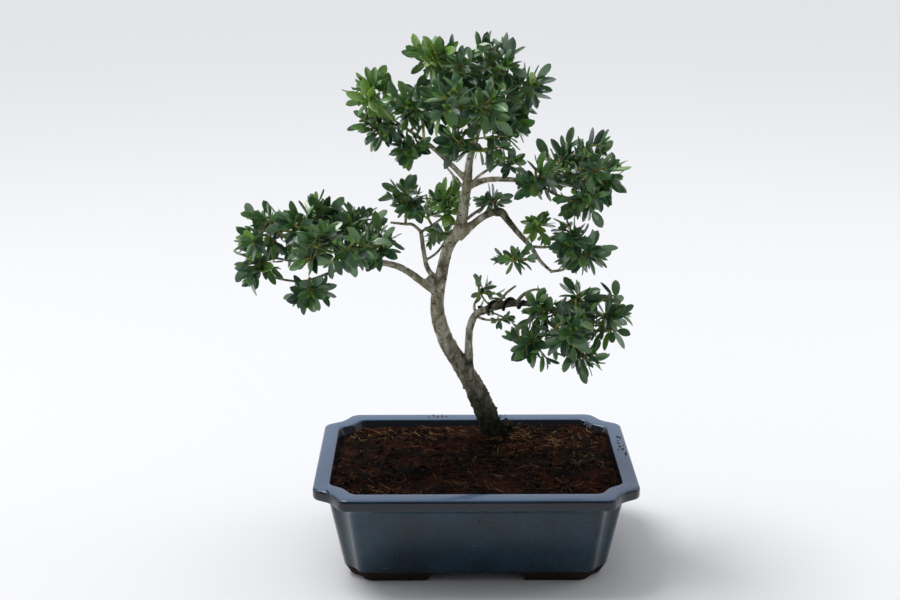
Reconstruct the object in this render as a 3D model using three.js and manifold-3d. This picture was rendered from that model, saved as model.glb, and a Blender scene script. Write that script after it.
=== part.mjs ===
// A Japanese holly bonsai in a glazed rectangular pot with indented corners.
// Millimetres, +Z up. The pot is modelled about its own centre, with the ground at z = 0, and the
// whole is moved at the end so that the origin is under the middle of the object's bounding box.
import * as THREE from "three";
import { mergeVertices } from "three/addons/utils/BufferGeometryUtils.js";
import Module from "manifold-3d";

const wasm = await Module();
wasm.setup();

// Driving dimensions of the pot
const POT_HEIGHT = 75;
const FOOT_HEIGHT = 8;
const FLOOR_TOP = 15;
const RIM_HALF = [117.5, 84];
const OPENING_HALF = [105.5, 71];
const SHOULDER_HALF = [106, 72];
const BASE_HALF = [97, 62.5];
const FOOT_HALF = [92.5, 58.5];
const RIM_NOTCH = 21.5;
const SHOULDER_NOTCH = 17;
const BASE_NOTCH = 12.9;
const CORNER_DENT = 0.27;
const CORNER_BEND = 4.5;
const SHOULDER_HEIGHT = 58;
const RIM_EDGE_FROM = 68;
const RIM_ROUND = 2.3;
const FOOT_WIDTH = 14;
const FRONT_GAP_HALF = 36.5;
const SIDE_GAP_HALF = 24;
const GAP_SLOPE = 0.58;
const DRAIN_RADIUS = 7;
const DRAIN_X = 45;

// Clearance between pieces that rest on each other
const GAP = 0.35;

// Driving dimensions of the soil, the mesh plates and the wire
const SOIL_LEVEL = 71.2;
const MOUND_HEIGHT = 3;
const PLATE_SIDE = 30;
const PLATE_THICKNESS = 1.2;
const WIRE_RADIUS = 1.2;
const WIRE_PITCH = 13;

// Driving dimensions of the foliage
const LEAF_LENGTH = 17.5;
const LEAF_WIDTH = 8.6;
const LEAF_THICKNESS = 0.7;
const LEAF_ARCH = 0.1;
const LEAF_SIZES = [0.8, 1.08];
const SHOOT_RADIUS = 1.05;
const SHOOT_TAPER = 0.9;

// Along a shoot: the first leaf stands this far back from its tip, each next one this much further,
// and none further back than this share of the shoot
const FIRST_LEAF = 0.8;
const LEAF_SPACING = 3;
const LOWEST_LEAF = 0.2;
const GOLDEN_ANGLE = (137.5 * Math.PI) / 180;

// How far a leaf leans out from its shoot, in radians: at the tip, more for each leaf below, at most
const TIP_LEAN = 0.5;
const LEAN_STEP = 0.2;
const LARGEST_LEAN = 1.1;

// Room kept round the wood, the shoots and the blades, and how often a crossing one is drawn again
const WOOD_ROOM = 0.3;
const SHOOT_ROOM = 0.5;
const BLADE_ROOM = 0.5;
const SHOOT_TRIES = 14;
const LEAF_TRIES = 16;

const SEED = 20;

const COLOURS = {
  glaze: { color: 0x2c4152, roughness: 0.22, metalness: 0 },
  soil: { color: 0x3a261a, roughness: 0.95, metalness: 0 },
  bark: { color: 0x857f6e, roughness: 0.85, metalness: 0 },
  wire: { color: 0x151517, roughness: 0.5, metalness: 0.6 },
  mesh: { color: 0x1c1f1c, roughness: 0.6, metalness: 0 },
  leaf: { color: 0x2c5436, roughness: 0.38, metalness: 0 },
  young: { color: 0x5c9a3a, roughness: 0.4, metalness: 0 },
};

// The wood: each branch is a route of [x, y, z, radius], the first point inside the wood it grew from
const WOOD = {
  trunk: [
    [19, 50, 38, 4], [17, 49, 55, 6.6], [15, 48, 68, 7.5], [12, 47, 84, 8.3], [5, 45, 103, 8.2],
    [-7, 41, 128, 6.8], [-21, 38, 152, 6.1], [-27, 35, 172, 5.4], [-28, 33, 187, 5.1],
    [-26, 32, 200, 4.7], [-20, 29, 228, 4.2], [-12, 27, 242, 4.5], [-9, 25, 256, 4],
    [-6, 22, 278, 3.4], [-4, 19, 297, 2.8], [0, 17, 312, 2.3], [4, 15, 328, 1.8],
  ],
  left: [
    [-27, 33, 192, 3.4], [-36, 31, 199, 3], [-49, 28, 210, 2.7], [-59, 25, 216, 2.5],
    [-70, 22, 219, 2.4], [-83, 19, 219, 2.1], [-95, 16, 219, 1.7],
  ],
  left_low: [
    [-94, 16, 219, 1.5], [-107, 12, 214, 1.2], [-126, 8, 209, 1], [-143, 4, 212, 0.9],
    [-153, 2, 217, 0.8],
  ],
  left_mid: [[-93, 17, 219, 1.5], [-113, 6, 224, 1.2], [-133, 2, 226, 1], [-147, 4, 228, 0.8]],
  left_high: [[-80, 19, 220, 1.5], [-99, 8, 235, 1.2], [-116, 0, 245, 1], [-134, 2, 248, 0.8]],
  left_back: [[-67, 22, 219, 1.5], [-86, 38, 224, 1.2], [-107, 46, 226, 1]],
  left_front: [[-90, 17, 219, 1.3], [-93, -6, 232, 1.1], [-102, -25, 240, 0.8]],
  inner: [[-28, 32, 203, 2.2], [-35, 34, 211, 2], [-38, 36, 224, 1.8], [-40, 40, 239, 1.6]],
  inner_left: [[-40, 40, 238, 1.3], [-46, 42, 243, 1.2], [-52, 44, 243, 1.1], [-63, 45, 244, 0.8]],
  inner_right: [[-40, 40, 238, 1.2], [-33, 44, 241, 1], [-25, 48, 246, 0.8]],
  inner_low: [[-37, 35, 217, 1.1], [-28, 40, 222, 0.9], [-22, 46, 229, 0.8]],
  crown_left: [
    [-7, 21, 282, 2.2], [-19, 18, 295, 2], [-31, 14, 307, 1.7], [-47, 8, 320, 1.3],
    [-61, 4, 330, 0.9],
  ],
  crown_twig: [[-7, 23, 274, 1.2], [-16, 16, 286, 0.9], [-23, 10, 296, 0.7]],
  crown_top: [[4, 15, 326, 1.7], [0, 12, 341, 1.4], [-10, 6, 355, 1.1], [-20, 2, 363, 0.8]],
  crown_up: [[1, 12, 339, 1.3], [5, 14, 352, 1.1], [7, 16, 361, 0.8]],
  crown_right: [[2, 16, 319, 1.6], [13, 12, 333, 1.3], [24, 6, 343, 0.9]],
  crown_front: [[-1, 17, 307, 1.6], [-5, -8, 326, 1.3], [-8, -27, 338, 0.9]],
  crown_back: [[-3, 18, 302, 1.6], [-2, 38, 317, 1.3], [-4, 52, 328, 1]],
  upper_right: [
    [-6, 22, 276, 2.8], [6, 22, 281, 2.2], [18, 22, 282, 2], [33, 22, 281, 1.9],
    [51, 22, 278, 1.7], [70, 22, 278, 1.4], [89, 22, 282, 1],
  ],
  upper_right_back: [[40, 22, 280, 1.3], [56, 38, 280, 1.1], [72, 50, 280, 0.8]],
  upper_right_low: [[46, 22, 279, 1.2], [57, 13, 273, 1], [68, 8, 271, 0.8]],
  sprig: [[-5, 22, 277, 1.3], [4, 15, 287, 1.1], [13, 9, 294, 0.8]],
  middle_right: [
    [-12, 27, 237, 3.7], [0, 24, 249, 2.8], [9, 20, 256, 2.6], [18, 16, 259, 3.4],
    [24, 12, 253, 2.5], [32, 8, 244, 2.1], [40, 4, 236, 1.8], [47, 0, 226, 1.5],
    [55, -3, 219, 1.2],
  ],
  middle_right_twig: [[39, 4, 236, 1.2], [51, -2, 237, 1], [60, -4, 239, 0.8]],
  middle_right_end: [[54, -3, 219, 1.2], [64, -4, 221, 0.9], [72, -4, 227, 0.8]],
  middle_right_left: [[46, 1, 228, 1.1], [37, -7, 230, 0.8], [31, -11, 230, 0.7]],
  middle_right_up: [[37, 6, 240, 1.1], [41, 5, 246, 0.9]],
  behind: [[-9, 26, 249, 1.4], [-1, 38, 252, 1.2], [5, 47, 254, 0.9]],
  lower_right: [
    [-3, 42, 122, 3.8], [-4, 37, 142, 3.2], [-4, 34, 156, 2.9], [-3, 32, 166, 2.9],
    [1, 30, 176, 2.8], [9, 27, 181, 3], [18, 24, 185, 3], [28, 20, 188, 2.8],
    [39, 16, 189, 2.2], [46, 13, 189, 1.7],
  ],
  lower_right_upper: [[31, 19, 189, 1.5], [37, 18, 196, 1.2], [45, 16, 200, 1], [53, 14, 199, 0.8]],
  lower_right_stub: [[17, 24, 186, 1.4], [24, 27, 194, 1], [31, 29, 199, 0.7]],
  lower_right_shoot: [[1, 30, 176, 1.3], [0, 32, 183, 1], [2, 33, 187, 0.8]],
  lower_right_under: [[1, 30, 175, 1.2], [8, 21, 175, 0.9], [15, 17, 176, 0.8]],
  lower_right_pad: [
    [45, 14, 190, 1.7], [52, 12, 179, 1.5], [62, 12, 170, 1.3], [76, 12, 166, 1.2],
    [85, 12, 165, 1], [92, 12, 170, 0.8],
  ],
  lower_right_low: [[53, 12, 178, 1.2], [53, 6, 166, 1], [59, 4, 155, 0.9], [71, 6, 151, 0.8]],
  lower_right_high: [[56, 12, 175, 1.2], [64, 19, 180, 1], [70, 24, 182, 0.8]],
};

// Swellings of the wood: [x, y, z, radius]
const KNOBS = [[24, 50, 76, 6.5], [-32, 31, 202, 4.8]];

// The leafy sprays: the branch it grows from, how far along it, the middle of its leaves, how far its
// shoot tips stand from that middle, and the numbers of its shoots and leaves
const SPRAYS = {
  left_tip_low: ["left_low", 1, [-156, 0, 222], 5, 2, 6],
  left_tip_high: ["left_mid", 1, [-155, 4, 237], 6, 2, 6],
  left_shoulder: ["left_high", 1, [-146, 5, 248], 7, 3, 6],
  left_top_a: ["left_high", 0.8, [-127, -8, 257], 7, 3, 6],
  left_top_b: ["left_high", 0.62, [-111, 13, 258], 7, 2, 5],
  left_top_c: ["left_high", 0.3, [-90, 2, 253], 8, 3, 6],
  left_right: ["left", 0.66, [-70, 14, 239], 8, 2, 5],
  left_front_a: ["left_front", 1, [-113, -33, 246], 9, 3, 6],
  left_front_b: ["left_front", 0.6, [-84, -26, 244], 8, 3, 6],
  left_back_a: ["left_back", 1, [-120, 50, 238], 9, 3, 6],
  left_back_b: ["left_back", 0.6, [-88, 50, 240], 9, 3, 6],
  left_under: ["left_low", 0.45, [-122, -2, 203], 8, 2, 5],
  left_inside: ["left_mid", 0.5, [-124, 22, 234], 9, 2, 5],
  inner_up: ["inner_left", 0.6, [-50, 43, 261], 9, 2, 5],
  inner_side: ["inner_right", 0.6, [-34, 54, 252], 7, 2, 5],
  inner_shoot: ["inner_right", 1, [-18, 46, 258], 7, 2, 5],
  inner_low: ["inner_low", 1, [-24, 50, 234], 4, 2, 4],
  crown_young_left: ["crown_left", 1, [-70, 3, 346], 7, 3, 6],
  crown_left_low: ["crown_left", 0.9, [-70, 8, 325], 8, 2, 5],
  crown_left_under: ["crown_left", 0.55, [-48, 2, 310], 7, 2, 5],
  crown_left_mid: ["crown_left", 0.75, [-46, -14, 342], 9, 3, 7],
  crown_left_back: ["crown_left", 0.6, [-42, 40, 333], 9, 3, 6],
  crown_young_top: ["crown_top", 1, [-32, 3, 370], 6, 3, 6],
  crown_top_a: ["crown_top", 0.7, [-14, -10, 367], 7, 3, 6],
  crown_top_b: ["crown_up", 1, [4, 20, 369], 6, 2, 5],
  crown_top_c: ["crown_up", 0.7, [18, -4, 368], 8, 3, 6],
  crown_right: ["crown_right", 1, [34, 3, 351], 8, 3, 7],
  crown_right_low: ["crown_right", 0.5, [24, -3, 327], 8, 2, 5],
  crown_front_a: ["crown_front", 1, [-20, -39, 349], 9, 3, 7],
  crown_front_b: ["crown_front", 0.8, [6, -36, 346], 9, 3, 7],
  crown_front_low: ["crown_front", 0.5, [-14, -20, 319], 8, 2, 5],
  crown_back_a: ["crown_back", 1, [-18, 56, 341], 9, 3, 6],
  crown_back_b: ["crown_back", 0.7, [13, 56, 336], 10, 3, 6],
  sprig: ["sprig", 1, [22, 4, 298], 7, 2, 5],
  upper_right_near: ["upper_right", 0.62, [46, 8, 287], 8, 2, 5],
  upper_right_top: ["upper_right", 0.74, [63, 32, 293], 8, 3, 6],
  upper_right_tall: ["upper_right", 0.9, [84, 16, 295], 8, 3, 6],
  upper_right_end: ["upper_right", 1, [98, 27, 281], 7, 2, 6],
  upper_right_low: ["upper_right_low", 1, [77, 3, 269], 8, 2, 5],
  upper_right_back: ["upper_right_back", 1, [80, 57, 279], 9, 3, 6],
  middle_right_top: ["middle_right_twig", 1, [66, -7, 244], 7, 2, 5],
  middle_right_end: ["middle_right_end", 1, [76, -2, 231], 6, 3, 6],
  middle_right_left: ["middle_right_left", 1, [25, -13, 230], 4, 2, 4],
  middle_right_up: ["middle_right_up", 1, [45, 3, 251], 5, 2, 4],
  behind_trunk: ["behind", 1, [11, 54, 258], 8, 2, 5],
  low_cluster: ["lower_right_shoot", 1, [7, 37, 193], 5, 2, 5],
  low_under: ["lower_right_under", 1, [21, 16, 177], 3, 1, 3],
  lower_right_left: ["lower_right_pad", 0.2, [50, -2, 187], 8, 2, 5],
  lower_right_mid: ["lower_right_high", 1, [76, 29, 183], 8, 3, 6],
  lower_right_end: ["lower_right_pad", 1, [98, 9, 177], 8, 3, 6],
  lower_right_front: ["lower_right_pad", 0.5, [70, -14, 178], 8, 3, 6],
  lower_right_low_left: ["lower_right_low", 0.3, [43, 0, 163], 6, 2, 5],
  lower_right_low: ["lower_right_low", 1, [80, 8, 151], 6, 3, 6],
};
const YOUNG_SPRAYS = ["crown_young_left", "crown_young_top", "middle_right_up", "inner_shoot"];

// A seeded draw: numbers from 0 to 1 that are the same on every run
let seedState = SEED;
function draw() {
  seedState = (seedState * 48271) % 2147483647;
  return seedState / 2147483647;
}

function between(low, high) {
  return low + (high - low) * draw();
}

function vec(p) {
  return new THREE.Vector3(p[0], p[1], p[2]);
}

// The part of v that is square to unit vector axis, at length 1
function squareTo(v, axis) {
  const rest = v.clone().addScaledVector(axis, -v.dot(axis));
  return rest.length() > 1e-6 ? rest.normalize() : squareTo(new THREE.Vector3(0.31, 0.95, 0.1), axis);
}

// Solids from triangles, and back
function solidOf(geometry) {
  const bare = geometry.index ? geometry.toNonIndexed() : geometry.clone();
  bare.deleteAttribute("normal");
  bare.deleteAttribute("uv");
  const merged = mergeVertices(bare, 1e-4);
  return new wasm.Manifold(
    new wasm.Mesh({
      numProp: 3,
      vertProperties: new Float32Array(merged.attributes.position.array),
      triVerts: new Uint32Array(merged.index.array),
    }),
  );
}

function geometryOf(solid) {
  const mesh = solid.getMesh();
  const geometry = new THREE.BufferGeometry();
  geometry.setAttribute("position", new THREE.BufferAttribute(new Float32Array(mesh.vertProperties), 3));
  geometry.setIndex(new THREE.BufferAttribute(new Uint32Array(mesh.triVerts), 1));
  geometry.computeVertexNormals();
  return geometry;
}

function joined(solids) {
  return solids.reduce((whole, next) => whole.add(next));
}

// A closed solid through rings that have the same number of points, with a flat cap on each end.
// Each ring runs anticlockwise as seen from the end that the rings lead to.
function loft(rings) {
  const count = rings[0].length;
  const corners = [];
  for (let r = 1; r < rings.length; r++)
    for (let i = 0; i < count; i++) {
      const j = (i + 1) % count;
      const [a, b, c, d] = [rings[r - 1][i], rings[r - 1][j], rings[r][j], rings[r][i]];
      corners.push(a, b, c, a, c, d);
    }
  for (const [ring, flipped] of [[rings[0], true], [rings[rings.length - 1], false]]) {
    const [u, v] = capAxes(ring);
    const flat = ring.map((p) => new THREE.Vector2(p.dot(u), p.dot(v)));
    for (const [a, b, c] of THREE.ShapeUtils.triangulateShape(flat, []))
      corners.push(ring[a], ring[flipped ? c : b], ring[flipped ? b : c]);
  }
  return new THREE.BufferGeometry().setFromPoints(corners);
}

// Two directions in the plane of a ring, for which the ring runs anticlockwise
function capAxes(ring) {
  const normal = new THREE.Vector3();
  for (let i = 0; i < ring.length; i++)
    normal.add(ring[i].clone().cross(ring[(i + 1) % ring.length]));
  normal.normalize();
  const u = squareTo(new THREE.Vector3(1, 0.02, 0.03), normal);
  return [u, normal.clone().cross(u)];
}

// A rectangle with indented, softly rounded corners, as points at height z
function cornerOutline(halfX, halfY, notch, z) {
  const inset = (notch * (1 + CORNER_DENT)) / 2;
  const corner = [
    [halfX, halfY - notch],
    [halfX - inset, halfY - inset],
    [halfX - notch, halfY],
  ];
  const quarters = [[1, 1], [-1, 1], [-1, -1], [1, -1]];
  const vertices = quarters.flatMap(([sx, sy]) => {
    const turned = corner.map(([x, y]) => new THREE.Vector2(sx * x, sy * y));
    return sx * sy > 0 ? turned : turned.reverse();
  });
  const path = new THREE.Path();
  vertices.forEach((vertex, i) => {
    const before = vertices[(i + vertices.length - 1) % vertices.length];
    const after = vertices[(i + 1) % vertices.length];
    const from = before.clone().sub(vertex).setLength(CORNER_BEND).add(vertex);
    const to = after.clone().sub(vertex).setLength(CORNER_BEND).add(vertex);
    if (i === 0) path.moveTo(from.x, from.y);
    else path.lineTo(from.x, from.y);
    path.quadraticCurveTo(vertex.x, vertex.y, to.x, to.y);
  });
  return path.getPoints(2).map((p) => new THREE.Vector3(p.x, p.y, z));
}

// The pot

// The inside of the wall at height z, for the pot itself and for the soil that fills it
const INNER_WALL = [
  { z: FLOOR_TOP, half: [90.5, 56], notch: 11.5 },
  { z: 64, half: [100, 65.5], notch: 14.5 },
  { z: POT_HEIGHT - 1.5, half: OPENING_HALF, notch: 17 },
];

function innerOutline(z, gap = 0) {
  const upper = z > INNER_WALL[1].z ? 2 : 1;
  const [low, high] = [INNER_WALL[upper - 1], INNER_WALL[upper]];
  const share = (z - low.z) / (high.z - low.z);
  const half = [0, 1].map((k) => THREE.MathUtils.lerp(low.half[k], high.half[k], share) - gap);
  return cornerOutline(half[0], half[1], THREE.MathUtils.lerp(low.notch, high.notch, share), z);
}

function potBody() {
  const grown = (half, extra) => half.map((side) => side + extra);
  const outside = [
    cornerOutline(...BASE_HALF, BASE_NOTCH, FOOT_HEIGHT),
    cornerOutline(...SHOULDER_HALF, SHOULDER_NOTCH, SHOULDER_HEIGHT),
    cornerOutline(...grown(SHOULDER_HALF, 2.6), SHOULDER_NOTCH + 1.5, SHOULDER_HEIGHT + 4.5),
    cornerOutline(...grown(RIM_HALF, -2.5), RIM_NOTCH - 0.5, RIM_EDGE_FROM - 2),
    cornerOutline(...RIM_HALF, RIM_NOTCH, RIM_EDGE_FROM),
    cornerOutline(...RIM_HALF, RIM_NOTCH, POT_HEIGHT - RIM_ROUND),
    cornerOutline(...grown(RIM_HALF, -RIM_ROUND), RIM_NOTCH - 0.6, POT_HEIGHT),
  ];
  const mouth = cornerOutline(...grown(OPENING_HALF, 1.6), SHOULDER_NOTCH + 0.5, POT_HEIGHT);
  const inside = INNER_WALL.map((level) => innerOutline(level.z)).reverse();
  return solidOf(loft([...outside, mouth, ...inside]));
}

// A straight channel with sloping sides under the pot, along X or Y
function footGap(halfWidth, alongX) {
  const top = FOOT_HEIGHT + 3;
  const shape = new THREE.Shape([
    new THREE.Vector2(-halfWidth - GAP_SLOPE, -1),
    new THREE.Vector2(halfWidth + GAP_SLOPE, -1),
    new THREE.Vector2(halfWidth - GAP_SLOPE * top, top),
    new THREE.Vector2(-halfWidth + GAP_SLOPE * top, top),
  ]);
  const length = 4 * RIM_HALF[0];
  const channel = new THREE.ExtrudeGeometry(shape, { depth: length, bevelEnabled: false });
  channel.translate(0, 0, -length / 2).rotateX(Math.PI / 2);
  if (alongX) channel.rotateZ(Math.PI / 2);
  return solidOf(channel);
}

function potFeet() {
  const ring = solidOf(
    loft([
      cornerOutline(...FOOT_HALF, BASE_NOTCH, 0),
      cornerOutline(BASE_HALF[0] - 0.6, BASE_HALF[1] - 0.6, BASE_NOTCH, FOOT_HEIGHT),
      cornerOutline(BASE_HALF[0] - 2, BASE_HALF[1] - 2, BASE_NOTCH, FOOT_HEIGHT + 1.5),
    ]),
  );
  const insideHalf = FOOT_HALF.map((half) => half - FOOT_WIDTH);
  const inside = solidOf(
    loft([cornerOutline(...insideHalf, BASE_NOTCH, -1), cornerOutline(...insideHalf, BASE_NOTCH, 12)]),
  );
  return ring
    .subtract(inside)
    .subtract(footGap(FRONT_GAP_HALF, false))
    .subtract(footGap(SIDE_GAP_HALF, true));
}

function drainHole(x) {
  const hole = new THREE.CylinderGeometry(DRAIN_RADIUS, DRAIN_RADIUS, 2 * FLOOR_TOP, 16);
  return solidOf(hole.rotateX(Math.PI / 2).translate(x, 0, FLOOR_TOP));
}

function pot() {
  return potBody().add(potFeet()).subtract(drainHole(DRAIN_X)).subtract(drainHole(-DRAIN_X));
}

// The mesh plate over a drainage hole

function block(width, depth, height, x, y, z) {
  return solidOf(new THREE.BoxGeometry(width, depth, height).translate(x, y, z));
}

function meshPlate(x) {
  const height = FLOOR_TOP + GAP + PLATE_THICKNESS / 2;
  const bar = PLATE_SIDE / 9;
  const opening = (PLATE_SIDE - 3 * bar) / 2;
  const offset = (opening + bar) / 2;
  let plate = block(PLATE_SIDE, PLATE_SIDE, PLATE_THICKNESS, x, 0, height);
  for (const i of [-1, 1])
    for (const j of [-1, 1])
      plate = plate.subtract(
        block(opening, opening, 3 * PLATE_THICKNESS, x + i * offset, j * offset, height),
      );
  return plate;
}

// The wood

// A smooth route through points [x, y, z, radius], with point and radius at share t from 0 to 1
function routeAt(points, t) {
  const last = points.length - 1;
  const span = Math.min(Math.floor(t * last), last - 1);
  const s = t * last - span;
  const [p0, p1, p2, p3] = [-1, 0, 1, 2].map((k) => points[Math.min(Math.max(span + k, 0), last)]);
  const at = [0, 1, 2].map(
    (k) =>
      0.5 *
      (2 * p1[k] +
        (p2[k] - p0[k]) * s +
        (2 * p0[k] - 5 * p1[k] + 4 * p2[k] - p3[k]) * s * s +
        (3 * p1[k] - p0[k] - 3 * p2[k] + p3[k]) * s * s * s),
  );
  return { point: vec(at), radius: p1[3] + (p2[3] - p1[3]) * s };
}

function directionAt(points, t) {
  const [from, to] = [Math.max(t - 0.02, 0), Math.min(t + 0.02, 1)];
  return routeAt(points, to).point.sub(routeAt(points, from).point).normalize();
}

// Stations along a route: place, direction, radius and a side direction that doesn't twist
function stationsAlong(points, steps, extra = 0) {
  const stations = [];
  let side = new THREE.Vector3(0.2, -1, 0.1);
  for (let i = 0; i <= steps; i++) {
    const { point, radius } = routeAt(points, i / steps);
    const direction = directionAt(points, i / steps);
    side = squareTo(side, direction);
    stations.push({ point, direction, side, radius: radius + extra });
  }
  return stations;
}

function tube(stations, sides) {
  const rings = stations.map(({ point, direction, side, radius }) => {
    const other = direction.clone().cross(side);
    return Array.from({ length: sides }, (_, i) => {
      const angle = (2 * Math.PI * i) / sides;
      return point
        .clone()
        .addScaledVector(side, radius * Math.cos(angle))
        .addScaledVector(other, radius * Math.sin(angle));
    });
  });
  return solidOf(loft(rings));
}

function routeLength(points) {
  let length = 0;
  for (let i = 1; i < points.length; i++) length += vec(points[i]).distanceTo(vec(points[i - 1]));
  return length;
}

function woodStations(name, extra = 0) {
  const points = WOOD[name];
  const stride = { trunk: 15, lower_right: 9 }[name] ?? 19;
  return stationsAlong(points, Math.max(2, Math.round(routeLength(points) / stride)), extra);
}

function knob([x, y, z, radius], extra = 0) {
  return solidOf(new THREE.IcosahedronGeometry(radius + extra, 1).translate(x, y, z));
}

function wood() {
  const sidesOf = (name) => (name === "trunk" ? 8 : WOOD[name][0][3] > 2 ? 5 : 4);
  const tubes = Object.keys(WOOD).map((name) => tube(woodStations(name), sidesOf(name)));
  return joined([...tubes, ...KNOBS.map((k) => knob(k))]);
}

// The wire wound round the lower right branch

// It leans on the wood between two of the route's points, and is underneath where the stub grows
function wire() {
  const points = WOOD.lower_right.slice(3, 10);
  const core = stationsAlong(points, 46);
  const [first, underneath, last] = [11, 25, 37];
  const route = [];
  for (let i = first; i <= last; i++) {
    const { point, direction, radius } = core[i];
    const up = squareTo(new THREE.Vector3(0, 0, 1), direction);
    const run = lengthOf(core.slice(0, i + 1)) - lengthOf(core.slice(0, underneath + 1));
    const angle = (2 * Math.PI * run) / WIRE_PITCH;
    const away = radius + 2 * GAP + WIRE_RADIUS;
    const place = point
      .clone()
      .addScaledVector(up, -away * Math.cos(angle))
      .addScaledVector(direction.clone().cross(up), away * Math.sin(angle));
    route.push([...place.toArray(), WIRE_RADIUS]);
  }
  return tube(stationsAlong(route, route.length - 1), 5);
}

// The soil

function soilTop(x, y) {
  const [bx, by] = WOOD.trunk[2];
  const mound = MOUND_HEIGHT * Math.exp(-((x - bx) ** 2 + (y - by) ** 2) / 900);
  const slope = 0.012 * x - 0.014 * y;
  const waves = 0.9 * Math.sin(x / 9 + y / 13) + 0.8 * Math.sin(x / 17 - y / 7 + 1.3);
  return SOIL_LEVEL + mound + slope + waves;
}

function soil() {
  const edge = innerOutline(SOIL_LEVEL, GAP + 0.15);
  const shares = [1, 0.94, 0.84, 0.71, 0.55, 0.36];
  const edgeDrop = 1.2;
  const surface = shares.map((share) =>
    edge.map((p) => {
      const [x, y] = [p.x * share, p.y * share];
      const z = share === 1 ? SOIL_LEVEL - edgeDrop : soilTop(x, y) + between(-0.7, 0.7);
      return new THREE.Vector3(x, y, z);
    }),
  );
  surface[0] = innerOutline(SOIL_LEVEL - edgeDrop, GAP + 0.15);
  const walls = [innerOutline(FLOOR_TOP, GAP + 0.1), innerOutline(INNER_WALL[1].z, GAP + 0.15)];
  walls[0].forEach((p) => (p.z = FLOOR_TOP + GAP));
  let body = solidOf(loft([...walls, ...surface]));
  const buried = stationsAlong(WOOD.trunk, 26, GAP + 0.1).slice(0, 8);
  buried[0].point.addScaledVector(buried[0].direction, -GAP);
  body = body.subtract(tube(buried, 10)).subtract(knob(KNOBS[0], GAP + 0.1));
  for (const x of [-DRAIN_X, DRAIN_X]) {
    const side = PLATE_SIDE + 2 * GAP;
    body = body.subtract(block(side, side, 2 * (PLATE_THICKNESS + 2 * GAP), x, 0, FLOOR_TOP));
  }
  return body;
}

// Room around stems and leaves: turned boxes that are tested against each other, so that nothing crosses

const taken = [];

function turnedBox(owner, kind, centre, axes, halves) {
  return { owner, kind, centre, axes, halves, reach: Math.hypot(...halves) };
}

function apart(a, b) {
  const gap = b.centre.clone().sub(a.centre);
  if (gap.length() > a.reach + b.reach) return true;
  const spread = (box, axis) =>
    box.halves.reduce((sum, half, k) => sum + half * Math.abs(box.axes[k].dot(axis)), 0);
  const tests = [...a.axes, ...b.axes];
  for (const u of a.axes)
    for (const v of b.axes) {
      const cross = u.clone().cross(v);
      if (cross.lengthSq() > 1e-8) tests.push(cross);
    }
  return tests.some((axis) => Math.abs(gap.dot(axis)) > spread(a, axis) + spread(b, axis));
}

// Boxes along a row of stations, each from one station to the next
function boxesAlong(owner, kind, stations, margin) {
  return stations.slice(1).map((station, i) => {
    const before = stations[i];
    const along = station.point.clone().sub(before.point);
    const length = along.length();
    along.normalize();
    const side = squareTo(before.side, along);
    const half = Math.max(before.radius, station.radius) + margin;
    const centre = before.point.clone().add(station.point).multiplyScalar(0.5);
    const axes = [along, side, along.clone().cross(side)];
    return turnedBox(owner, kind, centre, axes, [length / 2, half, half]);
  });
}

// The leafy sprays

function bentRoute(from, control, to, fromRadius, toRadius) {
  const middle = from.clone().multiplyScalar(0.25).addScaledVector(control, 0.5).addScaledVector(to, 0.25);
  return [
    [from.x, from.y, from.z, fromRadius],
    [middle.x, middle.y, middle.z, (fromRadius + toRadius) / 2],
    [to.x, to.y, to.z, toRadius],
  ];
}

// A shoot from a point to a tip, drawn again with another bend while it would cross another spray
function growShoot(owner, from, lead, tip, radius, steps) {
  const reach = tip.distanceTo(from);
  let stations;
  for (let attempt = 0; attempt < SHOOT_TRIES; attempt++) {
    const stray = 0.1 * attempt;
    const wander = vec([between(-stray, stray), between(-stray, stray), between(-stray, stray)]);
    const control = from.clone().addScaledVector(lead, 0.45 * reach).addScaledVector(wander, reach);
    const end = tip.clone().addScaledVector(wander, 0.6 * reach);
    stations = stationsAlong(bentRoute(from, control, end, radius, radius * SHOOT_TAPER), steps);
    const [, ...boxes] = boxesAlong(owner, "stem", stations, SHOOT_ROOM);
    if (boxes.every((box) => taken.every((other) => other.owner === owner || apart(box, other)))) break;
  }
  taken.push(...boxesAlong(owner, "stem", stations, SHOOT_ROOM));
  return stations;
}

// The place on a branch's surface where a spray starts, and the direction in which it leaves
function startOn(branch, share, towards) {
  const stations = woodStations(branch);
  const { before, after, part } = spanAt(stations, share);
  if (share === 1) {
    const lead = after.direction;
    return { from: after.point.clone().addScaledVector(lead, GAP), lead };
  }
  const point = before.point.clone().lerp(after.point, part);
  const along = after.point.clone().sub(before.point).normalize();
  const lead = squareTo(towards.clone().sub(point), along);
  const radius = Math.max(before.radius, after.radius);
  return { from: point.addScaledVector(lead, radius + GAP), lead };
}

// The two stations on either side of a share of their row, and how far it is from one to the other
function spanAt(stations, share) {
  const place = share * (stations.length - 1);
  const i = Math.min(Math.floor(place), stations.length - 2);
  return { before: stations[i], after: stations[i + 1], part: place - i };
}

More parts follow.
